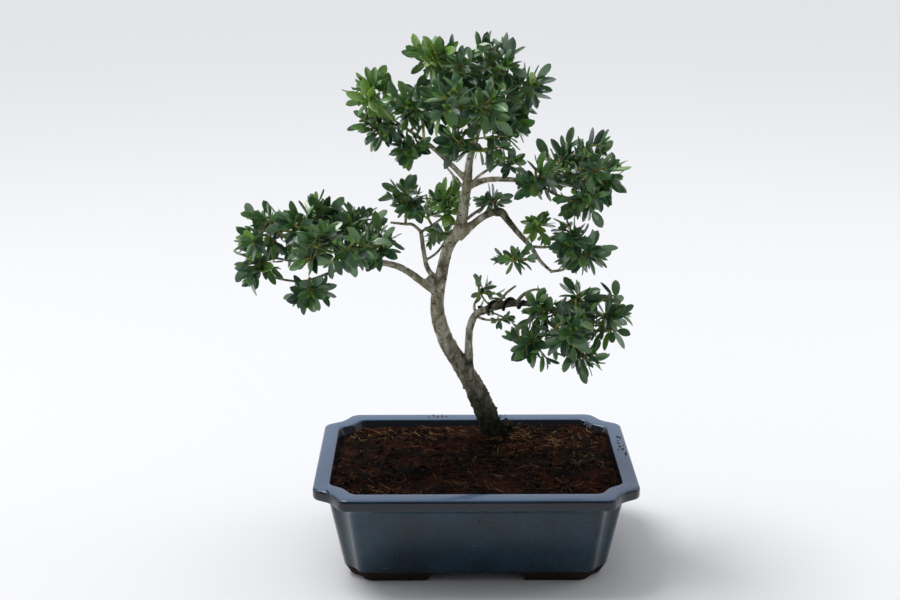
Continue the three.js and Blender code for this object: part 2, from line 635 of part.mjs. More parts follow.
function growShoots(name, [branch, share, centre, spread, shoots]) {
  const middle = vec(centre);
  const { from, lead } = startOn(branch, share, middle);
  const outward = middle.clone().sub(from).normalize();
  const tip = middle.clone().addScaledVector(outward, spread * 0.7);
  const main = growShoot(name, from, lead, tip, SHOOT_RADIUS, 3);
  const stems = [main];
  const around = squareTo(new THREE.Vector3(0, 0, 1), outward);
  const across = outward.clone().cross(around);
  const turn = between(0, 2 * Math.PI);
  for (let i = 1; i < shoots; i++) {
    const angle = turn + (2 * Math.PI * i) / (shoots - 1) + between(-0.4, 0.4);
    const opening = between(1.2, 1.8);
    const aim = outward
      .clone()
      .multiplyScalar(Math.cos(opening))
      .addScaledVector(around, Math.cos(angle) * Math.sin(opening))
      .addScaledVector(across, Math.sin(angle) * Math.sin(opening));
    const root = main[Math.min(i, 2)];
    const sideTip = middle.clone().addScaledVector(aim, spread * 1.25);
    stems.push(growShoot(name, root.point, root.direction, sideTip, SHOOT_RADIUS * 0.85, 1));
  }
  return stems;
}

// The box round a leaf's blade from share start of its length to the tip
function leafBox(owner, leaf, start) {
  const chord = leaf.direction.clone().addScaledVector(leaf.upper, -LEAF_ARCH);
  const along = chord.clone().normalize();
  const up = leaf.across.clone().cross(along);
  const centre = leaf.base
    .clone()
    .addScaledVector(chord, (leaf.length * (1 + start)) / 2)
    .addScaledVector(up, 0.015 * leaf.length);
  const halves = [(leaf.length * (1 - start)) / 2, leaf.width / 2, LEAF_THICKNESS / 2 + BLADE_ROOM];
  return turnedBox(owner, "leaf", centre, [along, leaf.across, up], halves);
}

// The blade: an oval with a blunt tip, arched along its length, as a closed solid.
// Its two ends are single points, with two stations of four corners between them.
const LEAF_STATIONS = [[0.38, 0.88], [0.8, 0.86]];

function leafSolid(leaf) {
  const along = (share) =>
    leaf.base
      .clone()
      .addScaledVector(leaf.direction, share * leaf.length)
      .addScaledVector(leaf.upper, -LEAF_ARCH * leaf.length * share ** 2);
  const ring = ([share, wide]) =>
    [[1, 1], [-1, 1], [-1, -1], [1, -1]].map(([hand, face]) =>
      along(share)
        .addScaledVector(leaf.across, (hand * wide * leaf.width) / 2)
        .addScaledVector(leaf.upper, (face * LEAF_THICKNESS) / 2),
    );
  const [near, far] = LEAF_STATIONS.map(ring);
  const [base, tip] = [along(0), along(1)];
  const corners = [];
  for (let i = 0; i < 4; i++) {
    const j = (i + 3) % 4;
    corners.push(base, near[j], near[i], far[i], far[j], tip);
    corners.push(near[i], near[j], far[i], near[j], far[j], far[i]);
  }
  return solidOf(new THREE.BufferGeometry().setFromPoints(corners));
}

// Leaves along one shoot from its tip back, turned round it by the golden angle
function growLeaves(name, stations, count, leaves) {
  const length = lengthOf(stations);
  let angle = between(0, 2 * Math.PI);
  for (let i = 0; i < count; i++) {
    const share = Math.max(LOWEST_LEAF, 1 - (FIRST_LEAF + i * LEAF_SPACING) / length);
    for (let attempt = 0; attempt < LEAF_TRIES; attempt++) {
      angle += attempt === 0 ? GOLDEN_ANGLE : 0.7;
      const size = between(...LEAF_SIZES) * (attempt > LEAF_TRIES / 2 ? 0.75 : 1);
      const lean = Math.min(TIP_LEAN + LEAN_STEP * i, LARGEST_LEAN) + between(-0.15, 0.2);
      const leaf = leafOn(stations, share, angle, lean, size);
      const room = { ...leafBox(name, leaf, 0.25), whole: leafBox(name, leaf, 0) };
      if (!isClear(room)) continue;
      taken.push(room);
      leaves.push(leaf);
      break;
    }
  }
}

function lengthOf(stations) {
  return stations.slice(1).reduce((sum, s, i) => sum + s.point.distanceTo(stations[i].point), 0);
}

// A leaf on a shoot, its base inside the shoot and its upper side turned up
function leafOn(stations, share, angle, lean, size) {
  const { before, after, part } = spanAt(stations, share);
  const stem = after.point.clone().sub(before.point).normalize();
  const side = squareTo(before.side, stem);
  const other = stem.clone().cross(side);
  const radial = side.multiplyScalar(Math.cos(angle)).addScaledVector(other, Math.sin(angle));
  const direction = stem.clone().multiplyScalar(Math.cos(lean)).addScaledVector(radial, Math.sin(lean));
  const facing = stem.multiplyScalar(Math.sin(lean)).addScaledVector(radial, -Math.cos(lean));
  facing.add(vec([between(-0.4, 0.4), between(-0.4, 0.4), 0.7]));
  const upper = squareTo(facing, direction);
  const base = before.point.clone().lerp(after.point, part).addScaledVector(radial, 0.2 * SHOOT_RADIUS);
  return {
    base,
    direction,
    upper,
    across: direction.clone().cross(upper),
    length: LEAF_LENGTH * size,
    width: LEAF_WIDTH * size * between(0.9, 1.1),
  };
}

// Whether a leaf's room is free: its whole length from other sprays and from the wood, and its blade
// from the blades of its own spray
function isClear(room) {
  return taken.every((other) => {
    if (other.owner !== room.owner) return apart(room.whole, other.whole ?? other);
    return other.kind === "leaf" ? apart(room, other) : true;
  });
}

function sprays() {
  const names = Object.keys(SPRAYS);
  const stems = Object.fromEntries(names.map((name) => [name, growShoots(name, SPRAYS[name])]));
  return names.map((name) => {
    const leaves = [];
    const count = SPRAYS[name][5];
    const shoots = stems[name];
    shoots.forEach((stations, i) => {
      const before = Math.round((count * i) / shoots.length);
      const after = Math.round((count * (i + 1)) / shoots.length);
      growLeaves(name, stations, after - before, leaves);
    });
    const solid = joined([...shoots.map((stations) => tube(stations, 3)), ...leaves.map(leafSolid)]);
    return piece("spray_" + name, solid, YOUNG_SPRAYS.includes(name) ? "young" : "leaf");
  });
}

// The whole object

function piece(name, solid, look) {
  const mesh = new THREE.Mesh(geometryOf(solid), new THREE.MeshStandardMaterial(COLOURS[look]));
  mesh.name = name;
  return mesh;
}

for (const name of Object.keys(WOOD)) {
  const windings = name === "lower_right" ? 2 * WIRE_RADIUS + GAP : 0;
  taken.push(...boxesAlong("wood", "wood", woodStations(name), WOOD_ROOM + windings));
}

const bonsai = new THREE.Group();
bonsai.add(
  piece("pot", pot(), "glaze"),
  piece("drainage_mesh_left", meshPlate(-DRAIN_X), "mesh"),
  piece("drainage_mesh_right", meshPlate(DRAIN_X), "mesh"),
  piece("soil", soil(), "soil"),
  piece("trunk", wood(), "bark"),
  piece("training_wire", wire(), "wire"),
  ...sprays(),
);

const box = new THREE.Box3().setFromObject(bonsai);
const middle = box.getCenter(new THREE.Vector3());
bonsai.position.set(-middle.x, -middle.y, -box.min.z);

const part = new THREE.Group();
part.add(bonsai);

export default part;
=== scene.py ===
import math
import random

import bmesh
import bpy
import numpy as np
from mathutils import Matrix, Vector, kdtree, noise


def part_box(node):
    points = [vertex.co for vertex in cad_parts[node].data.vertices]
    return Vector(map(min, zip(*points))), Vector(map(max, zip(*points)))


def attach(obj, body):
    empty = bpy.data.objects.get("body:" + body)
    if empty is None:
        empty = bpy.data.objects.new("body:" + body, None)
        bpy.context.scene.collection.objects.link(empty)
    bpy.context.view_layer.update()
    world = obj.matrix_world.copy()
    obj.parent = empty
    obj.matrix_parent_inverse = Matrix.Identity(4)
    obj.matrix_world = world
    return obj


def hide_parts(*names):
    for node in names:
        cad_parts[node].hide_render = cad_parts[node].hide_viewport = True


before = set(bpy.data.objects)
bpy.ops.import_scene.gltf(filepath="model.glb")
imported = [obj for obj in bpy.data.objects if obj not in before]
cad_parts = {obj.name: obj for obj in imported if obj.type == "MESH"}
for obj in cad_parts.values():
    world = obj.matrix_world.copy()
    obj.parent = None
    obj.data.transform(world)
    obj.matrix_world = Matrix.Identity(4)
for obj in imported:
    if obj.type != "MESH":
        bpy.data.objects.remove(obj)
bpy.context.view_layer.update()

MM = 0.001
POT_LOW, POT_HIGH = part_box("pot")
POT_CENTRE = np.array([(POT_LOW.x + POT_HIGH.x) / 2, (POT_LOW.y + POT_HIGH.y) / 2, 0]) / MM

# The pot
POT_HEIGHT = 75
FOOT_HEIGHT = 8
FLOOR_TOP = 15
RIM_HALF = (117.5, 84)
OPENING_HALF = (105.5, 71)
SHOULDER_HALF = (106, 72)
BASE_HALF = (97, 62.5)
FOOT_HALF = (92.5, 58.5)
RIM_NOTCH = 21.5
SHOULDER_NOTCH = 17
BASE_NOTCH = 12.9
CORNER_DENT = 0.27
CORNER_BEND = 4.5
SHOULDER_HEIGHT = 58
RIM_EDGE_FROM = 68
RIM_ROUND = 2.3
FOOT_WIDTH = 14
FRONT_GAP_HALF = 36.5
SIDE_GAP_HALF = 24
GAP_SLOPE = 0.58
DRAIN_RADIUS = 7
DRAIN_X = 45
GAP = 0.35

# Levels of the pot's profile: half sizes, notch and height
INNER_FLOOR = ((90.5, 56), 11.5, FLOOR_TOP)
INNER_WALL = ((100, 65.5), 14.5, 64)
INNER_LIP = (OPENING_HALF, SHOULDER_NOTCH, POT_HEIGHT - 1.5)

# The soil, its fibres and its crumbs
SOIL_LEVEL = 71.2
MOUND_HEIGHT = 3
MOUND_SPREAD = 30
FINE_FIBRES = 2100
FINE_REACH = (3, 10)
FINE_THICKNESS = (0.22, 0.5)
LONG_FIBRES = 420
LONG_REACH = (5, 17)
LONG_THICKNESS = (0.22, 0.46)
FIBRE_TILT = (-0.12, 0.28)
FIBRE_RISE = (-0.1, 0.5)
CRUMBS = 700
CRUMB_SIZE = 1.7
RIM_CRUMB_SIZE = 0.45
SMALLEST_CRUMB = 0.22

# The wire: its place is in steps along its branch
WIRE_RADIUS = 1.2
WIRE_PITCH = 13
WIRE_POINTS = (3, 10)
WIRE_STEPS = 46
WIRE_FROM = 11
WIRE_UNDERNEATH = 25
WIRE_TO = 37
WIRE_FINER = 4

# The foliage
LEAF_LENGTH = 17.5
LEAF_WIDTH = 8.6
LEAF_THICKNESS = 0.7
LEAF_ARCH = 0.1
LEAF_SIZES = (0.8, 1.08)
SHOOT_RADIUS = 1.05
SHOOT_TAPER = 0.9
FIRST_LEAF = 0.8
LEAF_SPACING = 3
LOWEST_LEAF = 0.2
GOLDEN_ANGLE = math.radians(137.5)
TIP_LEAN = 0.5
LEAN_STEP = 0.2
LARGEST_LEAN = 1.1
SIDE_THICKNESS = 0.85
MAIN_SPREAD = 0.7
SIDE_SPREAD = 1.25
STRAY_STEP = 0.1
BLADE_FROM = 0.25
SHRUNK_LEAF = 0.75
WOOD_ROOM = 0.3
SHOOT_ROOM = 0.5
BLADE_ROOM = 0.5
SHOOT_TRIES = 14
LEAF_TRIES = 16
SEED = 20
SOIL_DRAWS = 180

# The wood: each branch is a route of (x, y, z, radius), which starts inside the wood it grew from
WOOD = {
    "trunk": [
        (19, 50, 38, 4), (17, 49, 55, 6.6), (15, 48, 68, 7.5), (12, 47, 84, 8.3), (5, 45, 103, 8.2),
        (-7, 41, 128, 6.8), (-21, 38, 152, 6.1), (-27, 35, 172, 5.4), (-28, 33, 187, 5.1),
        (-26, 32, 200, 4.7), (-20, 29, 228, 4.2), (-12, 27, 242, 4.5), (-9, 25, 256, 4),
        (-6, 22, 278, 3.4), (-4, 19, 297, 2.8), (0, 17, 312, 2.3), (4, 15, 328, 1.8),
    ],
    "left": [
        (-27, 33, 192, 3.4), (-36, 31, 199, 3), (-49, 28, 210, 2.7), (-59, 25, 216, 2.5),
        (-70, 22, 219, 2.4), (-83, 19, 219, 2.1), (-95, 16, 219, 1.7),
    ],
    "left_low": [
        (-94, 16, 219, 1.5), (-107, 12, 214, 1.2), (-126, 8, 209, 1), (-143, 4, 212, 0.9),
        (-153, 2, 217, 0.8),
    ],
    "left_mid": [(-93, 17, 219, 1.5), (-113, 6, 224, 1.2), (-133, 2, 226, 1), (-147, 4, 228, 0.8)],
    "left_high": [(-80, 19, 220, 1.5), (-99, 8, 235, 1.2), (-116, 0, 245, 1), (-134, 2, 248, 0.8)],
    "left_back": [(-67, 22, 219, 1.5), (-86, 38, 224, 1.2), (-107, 46, 226, 1)],
    "left_front": [(-90, 17, 219, 1.3), (-93, -6, 232, 1.1), (-102, -25, 240, 0.8)],
    "inner": [(-28, 32, 203, 2.2), (-35, 34, 211, 2), (-38, 36, 224, 1.8), (-40, 40, 239, 1.6)],
    "inner_left": [
        (-40, 40, 238, 1.3), (-46, 42, 243, 1.2), (-52, 44, 243, 1.1), (-63, 45, 244, 0.8),
    ],
    "inner_right": [(-40, 40, 238, 1.2), (-33, 44, 241, 1), (-25, 48, 246, 0.8)],
    "inner_low": [(-37, 35, 217, 1.1), (-28, 40, 222, 0.9), (-22, 46, 229, 0.8)],
    "crown_left": [
        (-7, 21, 282, 2.2), (-19, 18, 295, 2), (-31, 14, 307, 1.7), (-47, 8, 320, 1.3),
        (-61, 4, 330, 0.9),
    ],
    "crown_twig": [(-7, 23, 274, 1.2), (-16, 16, 286, 0.9), (-23, 10, 296, 0.7)],
    "crown_top": [(4, 15, 326, 1.7), (0, 12, 341, 1.4), (-10, 6, 355, 1.1), (-20, 2, 363, 0.8)],
    "crown_up": [(1, 12, 339, 1.3), (5, 14, 352, 1.1), (7, 16, 361, 0.8)],
    "crown_right": [(2, 16, 319, 1.6), (13, 12, 333, 1.3), (24, 6, 343, 0.9)],
    "crown_front": [(-1, 17, 307, 1.6), (-5, -8, 326, 1.3), (-8, -27, 338, 0.9)],
    "crown_back": [(-3, 18, 302, 1.6), (-2, 38, 317, 1.3), (-4, 52, 328, 1)],
    "upper_right": [
        (-6, 22, 276, 2.8), (6, 22, 281, 2.2), (18, 22, 282, 2), (33, 22, 281, 1.9),
        (51, 22, 278, 1.7), (70, 22, 278, 1.4), (89, 22, 282, 1),
    ],
    "upper_right_back": [(40, 22, 280, 1.3), (56, 38, 280, 1.1), (72, 50, 280, 0.8)],
    "upper_right_low": [(46, 22, 279, 1.2), (57, 13, 273, 1), (68, 8, 271, 0.8)],
    "sprig": [(-5, 22, 277, 1.3), (4, 15, 287, 1.1), (13, 9, 294, 0.8)],
    "middle_right": [
        (-12, 27, 237, 3.7), (0, 24, 249, 2.8), (9, 20, 256, 2.6), (18, 16, 259, 3.4),
        (24, 12, 253, 2.5), (32, 8, 244, 2.1), (40, 4, 236, 1.8), (47, 0, 226, 1.5),
        (55, -3, 219, 1.2),
    ],
    "middle_right_twig": [(39, 4, 236, 1.2), (51, -2, 237, 1), (60, -4, 239, 0.8)],
    "middle_right_end": [(54, -3, 219, 1.2), (64, -4, 221, 0.9), (72, -4, 227, 0.8)],
    "middle_right_left": [(46, 1, 228, 1.1), (37, -7, 230, 0.8), (31, -11, 230, 0.7)],
    "middle_right_up": [(37, 6, 240, 1.1), (41, 5, 246, 0.9)],
    "behind": [(-9, 26, 249, 1.4), (-1, 38, 252, 1.2), (5, 47, 254, 0.9)],
    "lower_right": [
        (-3, 42, 122, 3.8), (-4, 37, 142, 3.2), (-4, 34, 156, 2.9), (-3, 32, 166, 2.9),
        (1, 30, 176, 2.8), (9, 27, 181, 3), (18, 24, 185, 3), (28, 20, 188, 2.8),
        (39, 16, 189, 2.2), (46, 13, 189, 1.7),
    ],
    "lower_right_upper": [
        (31, 19, 189, 1.5), (37, 18, 196, 1.2), (45, 16, 200, 1), (53, 14, 199, 0.8),
    ],
    "lower_right_stub": [(17, 24, 186, 1.4), (24, 27, 194, 1), (31, 29, 199, 0.7)],
    "lower_right_shoot": [(1, 30, 176, 1.3), (0, 32, 183, 1), (2, 33, 187, 0.8)],
    "lower_right_under": [(1, 30, 175, 1.2), (8, 21, 175, 0.9), (15, 17, 176, 0.8)],
    "lower_right_pad": [
        (45, 14, 190, 1.7), (52, 12, 179, 1.5), (62, 12, 170, 1.3), (76, 12, 166, 1.2),
        (85, 12, 165, 1), (92, 12, 170, 0.8),
    ],
    "lower_right_low": [(53, 12, 178, 1.2), (53, 6, 166, 1), (59, 4, 155, 0.9), (71, 6, 151, 0.8)],
    "lower_right_high": [(56, 12, 175, 1.2), (64, 19, 180, 1), (70, 24, 182, 0.8)],
}

# Knobs where branches were cut off: middle and radius
KNOBS = [(24, 50, 76, 6.5), (-32, 31, 202, 4.8)]

# Where the bark is painted nearly black, as painted shade at branch joins and bends and along the
# lower branch, and on the root's knob: middle and reach
DARK_AND_SHADED_BARK = [
    (25, 50, 78, 11), (12, 26, 183, 5), (20, 23, 186, 6), (28, 20, 188, 7), (36, 17, 189, 7),
    (44, 14, 189, 7), (9, 20, 256, 5), (17, 17, 259, 8), (24, 12, 254, 5), (-32, 31, 202, 6),
    (-4, 38, 136, 6),
]

# The leafy sprays: the branch each grows from, how far along it, the middle of its leaves, how far
# its shoot tips stand from that middle, and the numbers of its shoots and leaves in the solid
SPRAYS = {
    "left_tip_low": ("left_low", 1, (-156, 0, 222), 5, 2, 6),
    "left_tip_high": ("left_mid", 1, (-155, 4, 237), 6, 2, 6),
    "left_shoulder": ("left_high", 1, (-146, 5, 248), 7, 3, 6),
    "left_top_a": ("left_high", 0.8, (-127, -8, 257), 7, 3, 6),
    "left_top_b": ("left_high", 0.62, (-111, 13, 258), 7, 2, 5),
    "left_top_c": ("left_high", 0.3, (-90, 2, 253), 8, 3, 6),
    "left_right": ("left", 0.66, (-70, 14, 239), 8, 2, 5),
    "left_front_a": ("left_front", 1, (-113, -33, 246), 9, 3, 6),
    "left_front_b": ("left_front", 0.6, (-84, -26, 244), 8, 3, 6),
    "left_back_a": ("left_back", 1, (-120, 50, 238), 9, 3, 6),
    "left_back_b": ("left_back", 0.6, (-88, 50, 240), 9, 3, 6),
    "left_under": ("left_low", 0.45, (-122, -2, 203), 8, 2, 5),
    "left_inside": ("left_mid", 0.5, (-124, 22, 234), 9, 2, 5),
    "inner_up": ("inner_left", 0.6, (-50, 43, 261), 9, 2, 5),
    "inner_side": ("inner_right", 0.6, (-34, 54, 252), 7, 2, 5),
    "inner_shoot": ("inner_right", 1, (-18, 46, 258), 7, 2, 5),
    "inner_low": ("inner_low", 1, (-24, 50, 234), 4, 2, 4),
    "crown_young_left": ("crown_left", 1, (-70, 3, 346), 7, 3, 6),
    "crown_left_low": ("crown_left", 0.9, (-70, 8, 325), 8, 2, 5),
    "crown_left_under": ("crown_left", 0.55, (-48, 2, 310), 7, 2, 5),
    "crown_left_mid": ("crown_left", 0.75, (-46, -14, 342), 9, 3, 7),
    "crown_left_back": ("crown_left", 0.6, (-42, 40, 333), 9, 3, 6),
    "crown_young_top": ("crown_top", 1, (-32, 3, 370), 6, 3, 6),
    "crown_top_a": ("crown_top", 0.7, (-14, -10, 367), 7, 3, 6),
    "crown_top_b": ("crown_up", 1, (4, 20, 369), 6, 2, 5),
    "crown_top_c": ("crown_up", 0.7, (18, -4, 368), 8, 3, 6),
    "crown_right": ("crown_right", 1, (34, 3, 351), 8, 3, 7),
    "crown_right_low": ("crown_right", 0.5, (24, -3, 327), 8, 2, 5),
    "crown_front_a": ("crown_front", 1, (-20, -39, 349), 9, 3, 7),
    "crown_front_b": ("crown_front", 0.8, (6, -36, 346), 9, 3, 7),
    "crown_front_low": ("crown_front", 0.5, (-14, -20, 319), 8, 2, 5),
    "crown_back_a": ("crown_back", 1, (-18, 56, 341), 9, 3, 6),
    "crown_back_b": ("crown_back", 0.7, (13, 56, 336), 10, 3, 6),
    "sprig": ("sprig", 1, (22, 4, 298), 7, 2, 5),
    "upper_right_near": ("upper_right", 0.62, (46, 8, 287), 8, 2, 5),
    "upper_right_top": ("upper_right", 0.74, (63, 32, 293), 8, 3, 6),
    "upper_right_tall": ("upper_right", 0.9, (84, 16, 295), 8, 3, 6),
    "upper_right_end": ("upper_right", 1, (98, 27, 281), 7, 2, 6),
    "upper_right_low": ("upper_right_low", 1, (77, 3, 269), 8, 2, 5),
    "upper_right_back": ("upper_right_back", 1, (80, 57, 279), 9, 3, 6),
    "middle_right_top": ("middle_right_twig", 1, (66, -7, 244), 7, 2, 5),
    "middle_right_end": ("middle_right_end", 1, (76, -2, 231), 6, 3, 6),
    "middle_right_left": ("middle_right_left", 1, (25, -13, 230), 4, 2, 4),
    "middle_right_up": ("middle_right_up", 1, (45, 3, 251), 5, 2, 4),
    "behind_trunk": ("behind", 1, (11, 54, 258), 8, 2, 5),
    "low_cluster": ("lower_right_shoot", 1, (7, 37, 193), 5, 2, 5),
    "low_under": ("lower_right_under", 1, (21, 16, 177), 3, 1, 3),
    "lower_right_left": ("lower_right_pad", 0.2, (50, -2, 187), 8, 2, 5),
    "lower_right_mid": ("lower_right_high", 1, (76, 29, 183), 8, 3, 6),
    "lower_right_end": ("lower_right_pad", 1, (98, 9, 177), 8, 3, 6),
    "lower_right_front": ("lower_right_pad", 0.5, (70, -14, 178), 8, 3, 6),
    "lower_right_low_left": ("lower_right_low", 0.3, (43, 0, 163), 6, 2, 5),
    "lower_right_low": ("lower_right_low", 1, (80, 8, 151), 6, 3, 6),
}
YOUNG_SPRAYS = ("crown_young_left", "crown_young_top", "middle_right_up", "inner_shoot")

# What the finished sprays hold beyond the solid: side shoots to each spray, and leaves to each of
# them, how far from the spray's middle they end, how much room and what size their leaves have
EXTRA_SHOOTS = 10
EXTRA_LEAVES = 7
EXTRA_REACH = (5, 15)
EXTRA_ROOM = -0.15
EXTRA_SIZE = 0.84
EXTRA_THICKNESS = 0.7

# The width of a finished blade beside that of the solid, and how deep a shoot is sunk in the wood
BLADE_NARROWING = 0.88
ROOTED = 1.4

# The small new leaves at the end of each shoot
TIP_LEAVES = 3
TIP_SIZES = (0.3, 0.52)
TIP_LEANS = (0.15, 0.5)
TIP_NARROWING = 0.8

# Sprays with smaller leaves, by how much, and with fewer extra shoots
SMALL_LEAVED = {
    "low_cluster": 0.62, "low_under": 0.55, "inner_low": 0.7, "middle_right_left": 0.75,
    "behind_trunk": 0.8, "middle_right_up": 0.8, "inner_side": 0.85, "sprig": 0.85,
}
SMALL_SHOOTS = 4

# Further places for extra shoots, where a spray's leaves also reach
FILLED = {
    "crown_top_a": (-8, 2, 352), "crown_top_c": (14, -8, 350), "crown_front_b": (12, -22, 330),
    "crown_front_a": (-28, -18, 350), "crown_left_mid": (-34, -10, 334),
    "crown_right": (26, -2, 340),
    "crown_front_low": (2, -18, 322), "crown_right_low": (16, -10, 330),
    "crown_top_b": (0, 8, 360), "left_top_a": (-122, -6, 244), "left_top_c": (-98, -4, 244),
    "left_right": (-80, 6, 232), "left_inside": (-108, 14, 238), "left_front_b": (-92, -18, 236),
    "upper_right_near": (54, 10, 280), "upper_right_top": (70, 22, 284),
    "upper_right_end": (88, 20, 274), "lower_right_front": (64, -8, 168),
    "lower_right_mid": (72, 18, 172), "lower_right_end": (86, 6, 168),
}


# Draws, vectors and places

class Draws:
    """The same row of draws as the solids were made with."""

    def __init__(self, seed):
        self.state = seed

    def one(self):
        self.state = (self.state * 48271) % 2147483647
        return self.state / 2147483647

    def between(self, low, high):
        return low + (high - low) * self.one()


class Scatter(random.Random):
    """Seeded draws for what no solid has to match."""

    one = random.Random.random
    between = random.Random.uniform


def length(v):
    return math.sqrt(v[0] * v[0] + v[1] * v[1] + v[2] * v[2])


def unit(v):
    return v / length(v)


def cross(a, b):
    return np.array([
        a[1] * b[2] - a[2] * b[1],
        a[2] * b[0] - a[0] * b[2],
        a[0] * b[1] - a[1] * b[0],
    ])


def square_to(v, axis):
    """The part of v that is square to a unit axis, at length 1."""
    rest = v - axis * v.dot(axis)
    if length(rest) > 1e-6:
        return unit(rest)
    return square_to(np.array([0.31, 0.95, 0.1]), axis)


def placed(points):
    """Places in millimetres about the pot's centre, as metres in the object's frame."""
    return (np.asarray(points, float) + POT_CENTRE) * MM


# Routes of the wood

def route_at(points, t):
    """The place and radius at share t of a smooth route."""
    last = len(points) - 1
    span = min(int(t * last), last - 1)
    s = t * last - span
    p0, p1, p2, p3 = (np.array(points[min(max(span + k, 0), last)], float) for k in (-1, 0, 1, 2))
    at = 0.5 * (
        2 * p1 + (p2 - p0) * s + (2 * p0 - 5 * p1 + 4 * p2 - p3) * s * s
        + (3 * p1 - p0 - 3 * p2 + p3) * s * s * s
    )
    return at[:3], p1[3] + (p2[3] - p1[3]) * s


def direction_at(points, t):
    return unit(route_at(points, min(t + 0.02, 1))[0] - route_at(points, max(t - 0.02, 0))[0])


class Station:
    """A place on a route, with the ways along and beside it and the radius there."""

    def __init__(self, point, direction, side, radius):
        self.point = point
        self.direction = direction
        self.side = side
        self.radius = radius


def stations_along(points, steps):
    """Places along a route, each with a side direction that doesn't twist."""
    stations = []
    side = np.array([0.2, -1, 0.1])
    for i in range(steps + 1):
        point, radius = route_at(points, i / steps)
        direction = direction_at(points, i / steps)
        side = square_to(side, direction)
        stations.append(Station(point, direction, side, radius))
    return stations


def route_length(points):
    ends = np.array(points, float)[:, :3]
    return float(np.linalg.norm(np.diff(ends, axis=0), axis=1).sum())


def wood_stations(name):
    points = WOOD[name]
    stride = {"trunk": 15, "lower_right": 9}.get(name, 19)
    return stations_along(points, max(2, math.floor(route_length(points) / stride + 0.5)))


def length_of(stations):
    return sum(length(b.point - a.point) for a, b in zip(stations, stations[1:]))


def span_at(stations, share):
    """The stations on either side of a share of their row, and how far it is between them."""
    place = share * (len(stations) - 1)
    i = min(int(place), len(stations) - 2)
    return stations[i], stations[i + 1], place - i


# Room around stems and leaves, as turned boxes that are tested against each other

class Room:
    """The turned boxes taken so far."""

    def __init__(self):
        self.owners = []
        self.kinds = []
        self.boxes = []
        self.wholes = []
        self.centres = np.zeros((0, 3))
        self.reaches = np.zeros(0)

    def take(self, owner, kind, box, whole=None):
        self.owners.append(owner)
        self.kinds.append(kind)
        self.boxes.append(box)
        self.wholes.append(whole or box)
        self.centres = np.vstack([self.centres, (whole or box)[0]])
        self.reaches = np.append(self.reaches, (whole or box)[3])

    def near(self, box):
        """The numbers of the boxes whose surrounding spheres touch that of a box."""
        gaps = np.linalg.norm(self.centres - box[0], axis=1)
        return np.nonzero(gaps <= self.reaches + box[3])[0]


def turned_box(centre, axes, halves):
    """A box as its centre, its axes, its half sizes and the radius round it."""
    return centre, axes, halves, math.sqrt(sum(h * h for h in halves))


def apart(a, b):
    """Whether two turned boxes are clear of each other, by the separating axis test."""
    gap = b[0] - a[0]
    if length(gap) > a[3] + b[3]:
        return True
    first, second = np.array(a[1]), np.array(b[1])
    crossed = np.cross(first[:, None, :], second[None, :, :]).reshape(9, 3)
    crossed = crossed[(crossed ** 2).sum(axis=1) > 1e-8]
    tests = np.vstack([first, second, crossed])
    spread = np.abs(tests @ first.T) @ np.array(a[2]) + np.abs(tests @ second.T) @ np.array(b[2])
    return bool(np.any(np.abs(tests @ gap) > spread))


def boxes_along(stations, margin):
    """Boxes round a stem, with a margin."""
    boxes = []
    for before, after in zip(stations, stations[1:]):
        along = after.point - before.point
        reach = length(along)
        along = along / reach
        side = square_to(before.side, along)
        half = max(before.radius, after.radius) + margin
        axes = (along, side, cross(along, side))
        boxes.append(turned_box((before.point + after.point) / 2, axes, (reach / 2, half, half)))
    return boxes


# Shoots and leaves, drawn in the same order as in the solids

def bent_route(start, control, end, start_radius, end_radius):
    middle = start * 0.25 + control * 0.5 + end * 0.25
    return [
        (*start, start_radius),
        (*middle, (start_radius + end_radius) / 2),
        (*end, end_radius),
    ]


